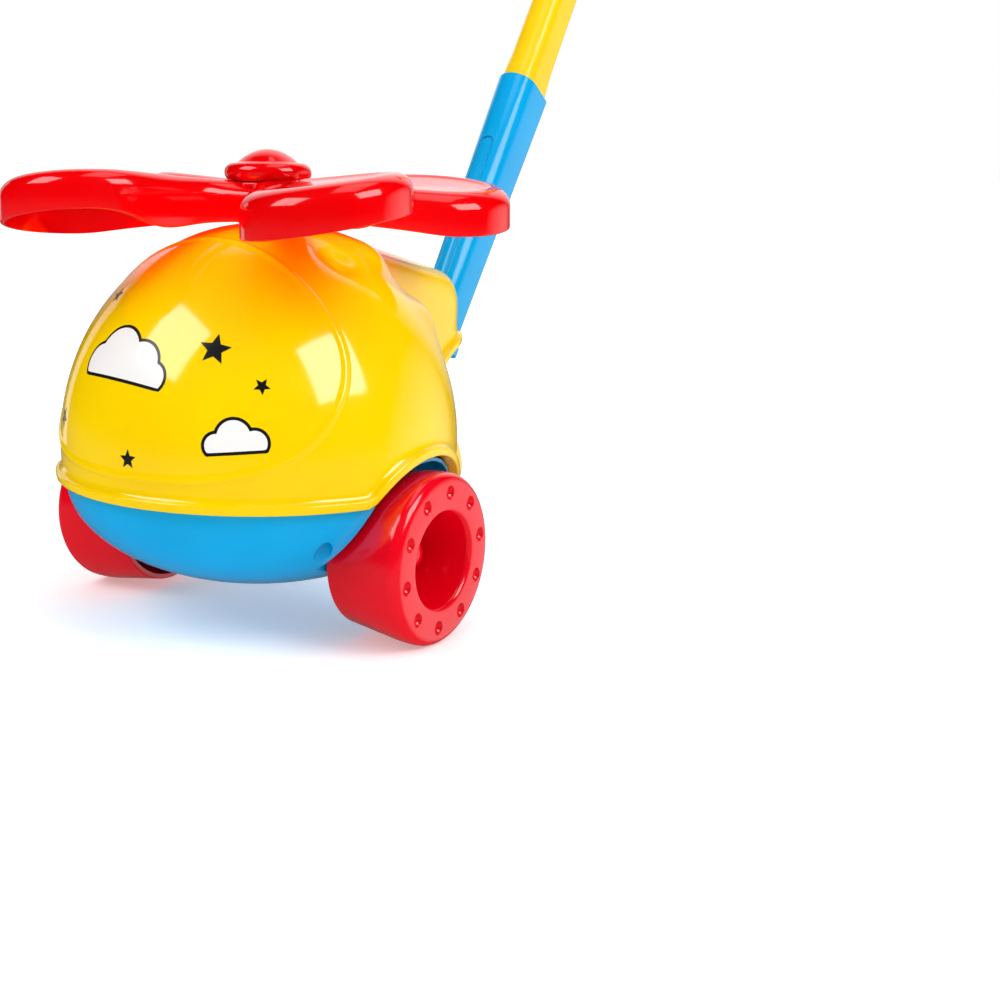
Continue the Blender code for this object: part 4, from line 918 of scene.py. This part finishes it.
def wheel(side):
    """A wheel: tapered tread, flat face with a ring of dimples, deep round cup and hub."""
    face, inner = wheel_outer_x, wheel_inner_x
    bore, hub = axle_radius + gap, wheel_hub_radius - gap
    body = turned(rounded([
        (wheel_inner_radius, inner, wheel_edge),
        (wheel_radius, wheel_crown_x, wheel_crown_rounding),
        (wheel_radius, face, wheel_corner),
        (wheel_hole_radius, face, wheel_hole_lip),
        (wheel_cup_radius, wheel_cup_x, wheel_cup_rounding),
        (wheel_hub_radius, wheel_cup_x, wheel_cup_rounding),
        (wheel_hub_radius, wheel_boss_x, wheel_boss_edge),
        (bore, wheel_boss_x, 0), (bore, inner, 0), (hub, inner, 0), (hub, wheel_cup_x - wheel_wall, 0),
        (wheel_cup_radius + wheel_wall - gap, wheel_cup_x - wheel_wall, 0),
        (wheel_hole_radius + wheel_wall, face - wheel_face_wall, 0),
        (wheel_radius - wheel_corner, face - wheel_face_wall, 0),
        (wheel_radius - wheel_wall, wheel_crown_x, 0),
        (wheel_inner_radius - wheel_wall, inner, 0)]), side=1)
    round_radius = (dimple_radius ** 2 + dimple_depth ** 2) / (2 * dimple_depth)
    beyond = face + round_radius - dimple_depth
    angles = [dimple_phase - 2 * pi * n / dimple_count for n in range(dimple_count)]
    cut(body, gather([ball(round_radius, (beyond, dimple_circle_radius * cos(angle),
                                          dimple_circle_radius * sin(angle)), dimple_steps)
                      for angle in angles]))
    if side < 0:
        body.data.transform(Matrix.Rotation(pi, 4, "Z"))
    return body


def hub_cap(side):
    """A domed cap pushed over the axle's end."""
    start, bore = wheel_boss_x + gap, axle_radius + gap
    end, high = start + cap_length, cap_radius / 2
    dome = [(cap_radius * cos(a), end - high + high * sin(a)) for a in quarter(fine_steps)[:-1]]
    return turned([(0, axle_end_x + gap), (bore, axle_end_x + gap), (bore, start), (cap_radius, start),
                   *dome, (0, end)], turned_steps // 2, side)


def blade_half_width(u):
    """Half the blade's width at a distance from the mast, up to its round tip."""
    share = smooth_step(u, *blade_widening)
    return blade_root_half_width + (blade_tip_radius - blade_root_half_width) * share


def blade_outline():
    """The blade's outline from above, with the outward direction at each point."""
    tip_centre = rotor_radius - blade_tip_radius
    sides = np.linspace(blade_root, tip_centre, blade_side_steps + 1)
    points = [(u, -blade_half_width(u)) for u in sides]
    points += arc((tip_centre, 0), blade_tip_radius, -pi / 2, pi / 2, blade_tip_steps)[1:-1]
    points += [(u, blade_half_width(u)) for u in reversed(sides)]
    outline = []
    for i, (u, v) in enumerate(points):
        before = points[i - 1] if i else (u - blade_root, v)
        after = points[i + 1] if i + 1 < len(points) else (u - blade_root, v)
        along = Vector((after[0] - before[0], after[1] - before[1])).normalized()
        outline.append(((u, v), (along.y, -along.x)))
    return outline


def blade_bottom(u, v):
    """The lower edge's height: pitched, and deeper at half length on the high side."""
    share = smooth_step(u, *blade_bottom_twist)
    skirt = blade_skirt_drop * exp(-((u - blade_skirt_at) / blade_skirt_reach) ** 2)
    skirt *= smooth_step((v / blade_tip_radius + 1) / 2)
    return blade_bottom_z + v * tan(blade_bottom_pitch) * share - skirt


def blade_top(u, v):
    share = smooth_step(u, *blade_top_twist)
    return blade_top_z + v * tan(blade_top_pitch) * share


def blade():
    """One blade: a rounded paddle, open below, with a shallow dish in its top."""
    outline = blade_outline()

    def ring(inset, drop, lift=0):
        points = []
        for (u, v), (out_u, out_v) in outline:
            moved_u, moved_v = max(u - out_u * inset, blade_root + inset), v - out_v * inset
            height = blade_bottom(u, v) + lift if drop is None else blade_top(moved_u, moved_v) - drop
            points.append((moved_u, moved_v, height))
        return points

    foot = blade_wall / 2
    outer = [ring(foot - foot * sin(a), None, foot - foot * cos(a)) for a in quarter(corner_steps)]
    outer += [ring(blade_corner_across * (1 - cos(a)), blade_corner_down * (1 - sin(a)))
              for a in quarter(2 * corner_steps)]
    outer += [ring(blade_dish_inset + blade_dish_slope * share, blade_dish_depth * smooth_step(share))
              for share in (i / corner_steps for i in range(corner_steps + 1))]
    return rings_solid([ring(blade_wall + foot, blade_ceiling), ring(blade_wall, blade_ceiling + foot),
                        ring(blade_wall, None), *outer])


def lean(piece):
    """Tip a piece a little on the mast, as the photograph shows the rotor."""
    axis = Vector((sin(rotor_lean_towards), -cos(rotor_lean_towards), 0))
    middle = Vector((0, 0, hub_bottom_z))
    piece.data.transform(Matrix.Translation(middle) @ Matrix.Rotation(rotor_lean, 4, axis)
                         @ Matrix.Translation(-middle))
    return piece


def rotor():
    """Four blades on a hub, with a seat for the cap."""
    plate = blade_wall
    bore, screw_hole = mast_radius + gap, screw_radius + running_gap
    step_z = mast_top_z + gap
    hub = turned(rounded([(hub_radius, hub_bottom_z, 0), (hub_radius, hub_top_z, plate / 2),
                          (screw_hole, hub_top_z, 0), (screw_hole, step_z, 0), (bore, step_z, 0),
                          (bore, hub_tube_bottom_z, 0), (hub_tube_radius, hub_tube_bottom_z, 0),
                          (hub_tube_radius, hub_top_z - plate, 0),
                          (hub_radius - plate, hub_top_z - plate, 0),
                          (hub_radius - plate, hub_bottom_z, 0)]))
    paddles = [blade() for _ in range(blade_count)]
    for n, paddle in enumerate(paddles):
        paddle.data.transform(Matrix.Rotation(rotor_phase + 2 * pi * n / blade_count, 4, "Z"))
    seat = bar(rotor_cap_radius + gap, (0, 0, hub_top_z), (0, 0, rotor_cap_top_z), turned_steps)
    combine(hub, paddles, "UNION", "MANIFOLD")
    return lean(combine(hub, [seat], "DIFFERENCE", "MANIFOLD"))


def rotor_cap():
    """The hub's cover: a thick round brim whose top swells into a low dome."""
    foot = hub_top_z + rotor_cap_gap
    bulge = (rotor_cap_ring_z - foot) / 2
    rise = rotor_cap_top_z - rotor_cap_ring_z

    def on_dome(share):
        return rotor_cap_dome_radius * share, rotor_cap_ring_z + rise * (1 - share ** 2)

    brim = rounded([(rotor_cap_hollow_radius, foot, 0), (rotor_cap_radius, foot, bulge),
                    (rotor_cap_radius, rotor_cap_ring_z, bulge),
                    (rotor_cap_dome_radius, rotor_cap_ring_z, rotor_cap_fillet),
                    (*on_dome(rotor_cap_fillet_share), 0)], 2 * corner_steps)
    dome = [on_dome(rotor_cap_fillet_share * (1 - i / fine_steps)) for i in range(1, fine_steps)]
    ceiling = foot + blade_wall
    return lean(turned([(0, ceiling), (rotor_cap_hollow_radius, ceiling), *brim, *dome,
                        (0, rotor_cap_top_z)]))


def handle_lower_tube():
    """The lower tube: a widening D-shaped tube on a round neck that plugs into the tail."""
    shoulder, edge, turns = tube_shoulder, tube_edge, quarter(corner_steps)
    stations = [lower_tube_section(shoulder * (1 - cos(a)), -shoulder * (1 - sin(a))) for a in turns]
    stations += [lower_tube_section(lower_tube_length - edge + edge * sin(a), edge * (cos(a) - 1))
                 for a in turns]
    neck = bar(neck_radius, on_handle(0, 0, -neck_length), on_handle(0, 0, shoulder))
    foot, mouth = upper_tube_stations(gap)[:2]
    foot = shifted(foot, -gap)
    bore = [lower_tube_section(distance, -tube_wall)
            for distance in (shoulder + tube_wall, foot[0] + overrun / 2)]
    return cut(join(d_solid(stations), neck), d_solid([foot, mouth, shifted(mouth, overrun)]),
               d_solid(bore), slot_cutter(),
               cross_bar(screw_radius + gap, handle_screw_at, -neck_radius / 2, neck_radius + overrun))


def handle_upper_tube():
    """The upper tube: necked where it leaves the lower one, closed at its top."""
    foot, mouth, _, neck, top = upper_tube_stations()
    fine = [foot]
    for distance in np.linspace(mouth[0], neck[0], fine_steps + 1):
        share = smooth_step(distance, mouth[0], neck[0])
        fine.append((distance, *between(mouth[1:], neck[1:], share)))
    low, *middle, high = upper_tube_stations(-tube_wall)
    return cut(d_solid([*fine, top]),
               d_solid([shifted(low, -overrun), *middle, shifted(high, -tube_wall)]),
               cross_bar(screw_radius + gap, grip_screw_at, 0, upper_tube_top[1] / 2 + overrun))


def handle_grip():
    """The cross grip: a bar with round ends and a slight waist, on a short socket."""
    middle = lower_tube_length + upper_tube_length
    reach, ends = grip_half_length - grip_radius, quarter(fine_steps)
    profile = [(grip_radius * sin(a), -reach - grip_radius * cos(a)) for a in ends]
    profile += [(grip_radius - grip_waist * cos(pi / 2 * share) ** 2, reach * share)
                for share in np.linspace(-1, 1, 2 * fine_steps + 1)[1:-1]]
    profile += [(grip_radius * cos(a), reach + grip_radius * sin(a)) for a in ends[:-1]]
    body = turned([*profile, (0, grip_half_length)], turned_steps // 2, 1)
    body.data.transform(Matrix.Translation(on_handle(0, 0, middle)))
    foot = middle - grip_socket_depth
    width, depth = (inner + 2 * (grip_socket_wall + gap) for inner in upper_tube_top)
    join(body, d_solid([(foot, width - tube_edge, depth - tube_edge),
                        (foot + tube_edge / 2, width, depth), (middle, width, depth)]))
    neck, top = upper_tube_stations(gap)[3:]
    share = (foot - overrun - neck[0]) / (top[0] - neck[0])
    rear = upper_tube_top[1] / 2 + gap
    return cut(body, d_solid([between(neck, top, share), shifted(top, gap)]),
               cross_bar(recess_radius, grip_screw_at, rear + grip_socket_wall / 2,
                         rear + 3 * recess_radius),
               cross_bar(screw_radius + running_gap, grip_screw_at, 0, rear + overrun))


# Print on the front of the dome: clouds and stars

def facing(azimuth, elevation):
    """The right, up and out of what faces a direction; azimuth 0 is the toy's front."""
    right = Vector((cos(azimuth), sin(azimuth), 0))
    out = Vector((sin(azimuth) * cos(elevation), -cos(azimuth) * cos(elevation), sin(elevation)))
    return right, out.cross(right), out


def print_patch(azimuth, elevation, tilt, edge, lift):
    """A thin printed shape on the dome, with the distance of its edge for each angle."""
    right, up, out = facing(azimuth, elevation)
    grid = []
    for angle in (2 * pi * n / print_steps for n in range(print_steps)):
        line, reach = right * cos(angle + tilt) + up * sin(angle + tilt), edge(angle)
        grid.append([out * dome_half_width + line * reach * k / print_rings
                     for k in range(print_rings + 1)])
    points = cast(upper_distance, np.array(dome_centre), unit(np.array(grid)))
    points = points + outward(upper_distance, points) * lift
    bm = bmesh.new()
    centre = bm.verts.new(points[0, 0])
    rows = add_columns(bm, points[:, 1:])
    for low, high in zip(rows, rows[1:] + rows[:1]):
        bm.faces.new((centre, high[0], low[0]))
    return object_from(bm, sheet=True)


def star_edge(radius):
    """The edge of a star with straight sides."""
    half = pi / star_points
    tip, notch = Vector((radius, 0)), Vector((cos(half), sin(half))) * radius * star_waist_share

    def edge(angle):
        off = abs((angle + half) % (2 * half) - half)
        return tip.x * notch.y / (notch.y * cos(off) + (tip.x - notch.x) * sin(off))
    return edge


def cloud_edge(puffs, grow=0):
    """The edge of a cloud made of round puffs (across, up, radius), flat along its foot."""
    floor = min(up - radius * puff_foot_share for _, up, radius in puffs) - grow

    def edge(angle):
        line = Vector((cos(angle), sin(angle)))
        best = 0
        for across, up, radius in puffs:
            along = line.dot(Vector((across, up)))
            squared = along ** 2 - across ** 2 - up ** 2 + (radius + grow) ** 2
            if squared > 0:
                best = max(best, along + sqrt(squared))
        if line.y < 0:
            foot = floor / line.y
            between = min(puffs)[0] <= foot * line.x <= max(puffs)[0]
            best = foot if between else min(best, foot)
        return best
    return edge


# Materials

def fill(tree, made, inputs):
    """Give a node's inputs their values, or link them to other nodes' outputs."""
    for name, value in inputs.items():
        if isinstance(value, bpy.types.NodeSocket):
            tree.links.new(value, made.inputs[name])
        else:
            made.inputs[name].default_value = value


def node(tree, kind, inputs=None, output=0, **settings):
    """Add a node with its settings and inputs, and return one of its outputs."""
    made = tree.nodes.new("ShaderNode" + kind)
    for name, value in settings.items():
        setattr(made, name, value)
    fill(tree, made, inputs or {})
    return made.outputs[output] if made.outputs else made


def noise(tree, place, scale, detail=2.0):
    return node(tree, "TexNoise", {"Vector": place, "Scale": scale, "Detail": detail}, "Fac")


def ranged(tree, value, low, high, start=0.3, end=0.7):
    """Map a value onto a range; a noise value lies between the default start and end."""
    return node(tree, "MapRange", {"Value": value, "From Min": start, "From Max": end,
                                   "To Min": low, "To Max": high}, "Result")


def start_material(name):
    made = bpy.data.materials.new(name)
    made.use_nodes = True
    tree = made.node_tree
    return made, tree, tree.nodes["Principled BSDF"], node(tree, "TexCoord", output="Object")


def bump(tree, place, scale, strength, depth, **base):
    """A fine surface relief from noise, over softened edges if they are given."""
    return node(tree, "Bump", {"Strength": strength, "Distance": depth,
                               "Height": noise(tree, place, scale, grain_detail), **base}, "Normal")


def plastic(name, colour, deep, roughness, shine):
    """Moulded plastic: slightly uneven colour and gloss, with soft, duller edges."""
    made, tree, shader, place = start_material(name)
    drift = ranged(tree, noise(tree, place, drift_scale), 0, 1)
    soft = node(tree, "Bevel", {"Radius": edge_softness}, samples=edge_samples)
    match = node(tree, "VectorMath", {0: soft, 1: node(tree, "NewGeometry", output="Normal")}, "Value",
                 operation="DOT_PRODUCT")
    worn = ranged(tree, match, edge_dulling, 0, *edge_from_to)
    uneven = ranged(tree, noise(tree, place, gloss_scale, gloss_detail),
                    *(roughness * share for share in gloss_shares))
    fill(tree, shader, {
        "Base Color": node(tree, "Mix", {0: drift, 6: (*colour, 1), 7: (*deep, 1)}, 2, data_type="RGBA"),
        "Roughness": node(tree, "Math", {0: worn, 1: uneven}),
        "Specular IOR Level": shine,
        "Normal": bump(tree, place, grain_scale, grain_strength, grain_depth, Normal=soft)})
    return made


def zinc_steel():
    """Zinc-plated steel with a faint drawn grain along its length."""
    made, tree, shader, place = start_material("zinc_steel")
    drawn = node(tree, "Mapping", {"Vector": place, "Scale": steel_grain_stretch})
    grain = noise(tree, drawn, steel_grain_scale, grain_detail)
    fill(tree, shader, {"Base Color": steel_colour, "Metallic": 1,
                        "Roughness": ranged(tree, grain, *steel_roughness),
                        "Normal": bump(tree, drawn, steel_grain_scale, steel_grain_strength,
                                       steel_grain_depth)})
    return made


def set_finish(piece, finish):
    piece.data.materials.clear()
    piece.data.materials.append(finish)


def dress(piece, name, body, look, *nodes):
    """Name a piece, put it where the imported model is, finish it and tie it to its body."""
    finish, slot = look
    piece.name = name
    piece.data.name = name
    piece.data.transform(Matrix.Translation(axle_place))
    set_finish(piece, finish)
    piece.data.shade_smooth()
    piece.data.set_sharp_from_angle(angle=smooth_angle)
    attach(piece, body)
    if nodes:
        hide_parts(*nodes)


def build_toy():
    """Make every piece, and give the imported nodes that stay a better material."""
    looks = {name: (plastic(name, *look), slot) for name, (slot, *look) in plastics.items()}
    steel = zinc_steel()
    angles = column_angles()
    dress(upper_shell(angles), "dome", "body", looks["yellow_shell"], "upper_shell")
    dress(canopy_rib(), "canopy_line", "body", looks["yellow_shell"])
    dress(lower_shell(angles), "bowl", "body", looks["blue_shell"], "lower_shell")
    for side, place in ((1, "left"), (-1, "right")):
        red = looks["red_wheel_plastic"]
        dress(wheel(side), place + "_road_wheel", "axle_assembly", red, place + "_wheel")
        dress(hub_cap(side), place + "_hub_dome", "axle_assembly", red, place + "_wheel_cap")
    dress(rotor(), "blades", "rotor_assembly", looks["red_rotor"], "rotor")
    dress(rotor_cap(), "blade_cap", "rotor_assembly", looks["red_rotor"], "rotor_cap")
    dress(handle_lower_tube(), "blue_tube", "body", looks["blue_tube_plastic"], "handle_lower_tube")
    dress(handle_upper_tube(), "yellow_tube", "body", looks["yellow_tube_plastic"], "handle_upper_tube")
    dress(handle_grip(), "cross_grip", "body", looks["red_grip_plastic"], "handle_grip")
    for number, (*place, puffs) in enumerate(cloud_places, 1):
        dress(print_patch(*place, cloud_edge(puffs, print_line), print_lift),
              f"cloud_line_{number}", "body", looks["black_print"])
        dress(print_patch(*place, cloud_edge(puffs), 2 * print_lift),
              f"cloud_{number}", "body", looks["white_print"])
    for number, (*place, radius) in enumerate(star_places, 1):
        dress(print_patch(*place, star_edge(radius), print_lift),
              f"star_{number}", "body", looks["black_print"])
    for name, piece in frame["nodes"].items():
        if name in ("axle", "mast") or name.endswith("screw"):
            set_finish(piece, steel)
        elif name in ("crown_gear", "mast_pinion", "mast_bush", "gear_bracket") or "washer" in name:
            set_finish(piece, looks["white_moulding"][0])


# Studio

def build_floor():
    """A wide pale floor, kept as light far off as it is near the toy."""
    bm = bmesh.new()
    bmesh.ops.create_circle(bm, cap_ends=True, segments=turned_steps, radius=floor_radius)
    floor = object_from(bm)
    floor.name = "floor"
    made, tree, shader, place = start_material("pale_floor")
    away = node(tree, "VectorMath", {0: place}, "Value", operation="LENGTH")
    fill(tree, shader, {
        "Base Color": floor_colour, "Emission Color": white,
        "Emission Strength": ranged(tree, away, *floor_glow, *floor_glow_from_to),
        "Roughness": ranged(tree, noise(tree, place, floor_scale), *floor_roughness)})
    floor.data.materials.append(made)
    floor.visible_glossy = False


def area_light(name, shape, width, height, power, colour):
    light = bpy.data.lights.new(name, "AREA")
    light.shape = shape
    light.size = width
    light.size_y = height
    light.energy = power
    light.color = colour
    return add_object(name, light)


def softbox(name, azimuth, elevation, width, height, power):
    """A rectangular soft light that looks at the dome from a direction."""
    sides = [2 * softbox_distance * tan(angle / 2) for angle in (width, height)]
    lamp = area_light(name, "RECTANGLE", *sides, power, white[:3])
    away = facing(azimuth, elevation)[2]
    place = axle_place + Vector(dome_centre) + away * softbox_distance
    lamp.matrix_world = Matrix.Translation(place) @ away.to_track_quat("Z", "Y").to_matrix().to_4x4()


def rotor_glow():
    """The red light that the real rotor lets through onto the dome."""
    lamp = area_light("rotor_glow", "DISK", 2 * glow_radius, 2 * glow_radius, glow_power, glow_colour)
    lamp.location = axle_place + Vector((0, 0, glow_z))
    lamp.visible_camera = False
    lamp.visible_glossy = False


def build_world():
    """White behind the toy; in mirrored rays it is dark on the viewer's side."""
    world = bpy.data.worlds.new("studio")
    world.use_nodes = True
    tree = world.node_tree
    tree.nodes.clear()
    place = node(tree, "TexCoord", output="Generated")
    height = node(tree, "SeparateXYZ", {0: place}, "Z")
    lobes = [(facing(azimuth, elevation)[2], *lobe) for azimuth, elevation, *lobe in mirrored_walls]
    mirrored = 0.0
    for direction, level, low, high in [*lobes, ((0, 0, -1), *mirrored_floor)]:
        share = node(tree, "VectorMath", {0: place, 1: direction}, "Value", operation="DOT_PRODUCT")
        mirrored = node(tree, "Math", {0: mirrored, 1: ranged(tree, share, 0, level, low, high)},
                        operation="MAXIMUM")
    lit = ranged(tree, height, *world_light, *world_light_from_to)
    shade, *others = [node(tree, "Background", {"Color": white, "Strength": level})
                      for level in (lit, mirrored, world_seen)]
    for test, other in zip(("Is Glossy Ray", "Is Camera Ray"), others):
        shade = node(tree, "MixShader", {0: node(tree, "LightPath", output=test), 1: shade, 2: other})
    node(tree, "OutputWorld", {"Surface": shade})
    bpy.context.scene.world = world


def build_camera():
    camera = bpy.data.cameras.new("camera")
    camera.sensor_width = camera_sensor
    camera.lens = camera_lens
    camera.clip_end = camera_reach
    holder = add_object("camera", camera)
    right, up, back = facing(camera_azimuth, camera_elevation)
    c, s = cos(camera_roll), sin(camera_roll)
    right, up = right * c + up * s, up * c - right * s
    holder.matrix_world = Matrix.Translation(Vector(camera_place) + axle_place) @ Matrix(
        (right, up, back)).transposed().to_4x4()
    bpy.context.scene.camera = holder


build_camera()
build_toy()
build_floor()
build_world()
for window in windows:
    softbox(*window)
rotor_glow()
softbox(*side_strip)
bpy.context.scene.view_settings.view_transform = "Standard"
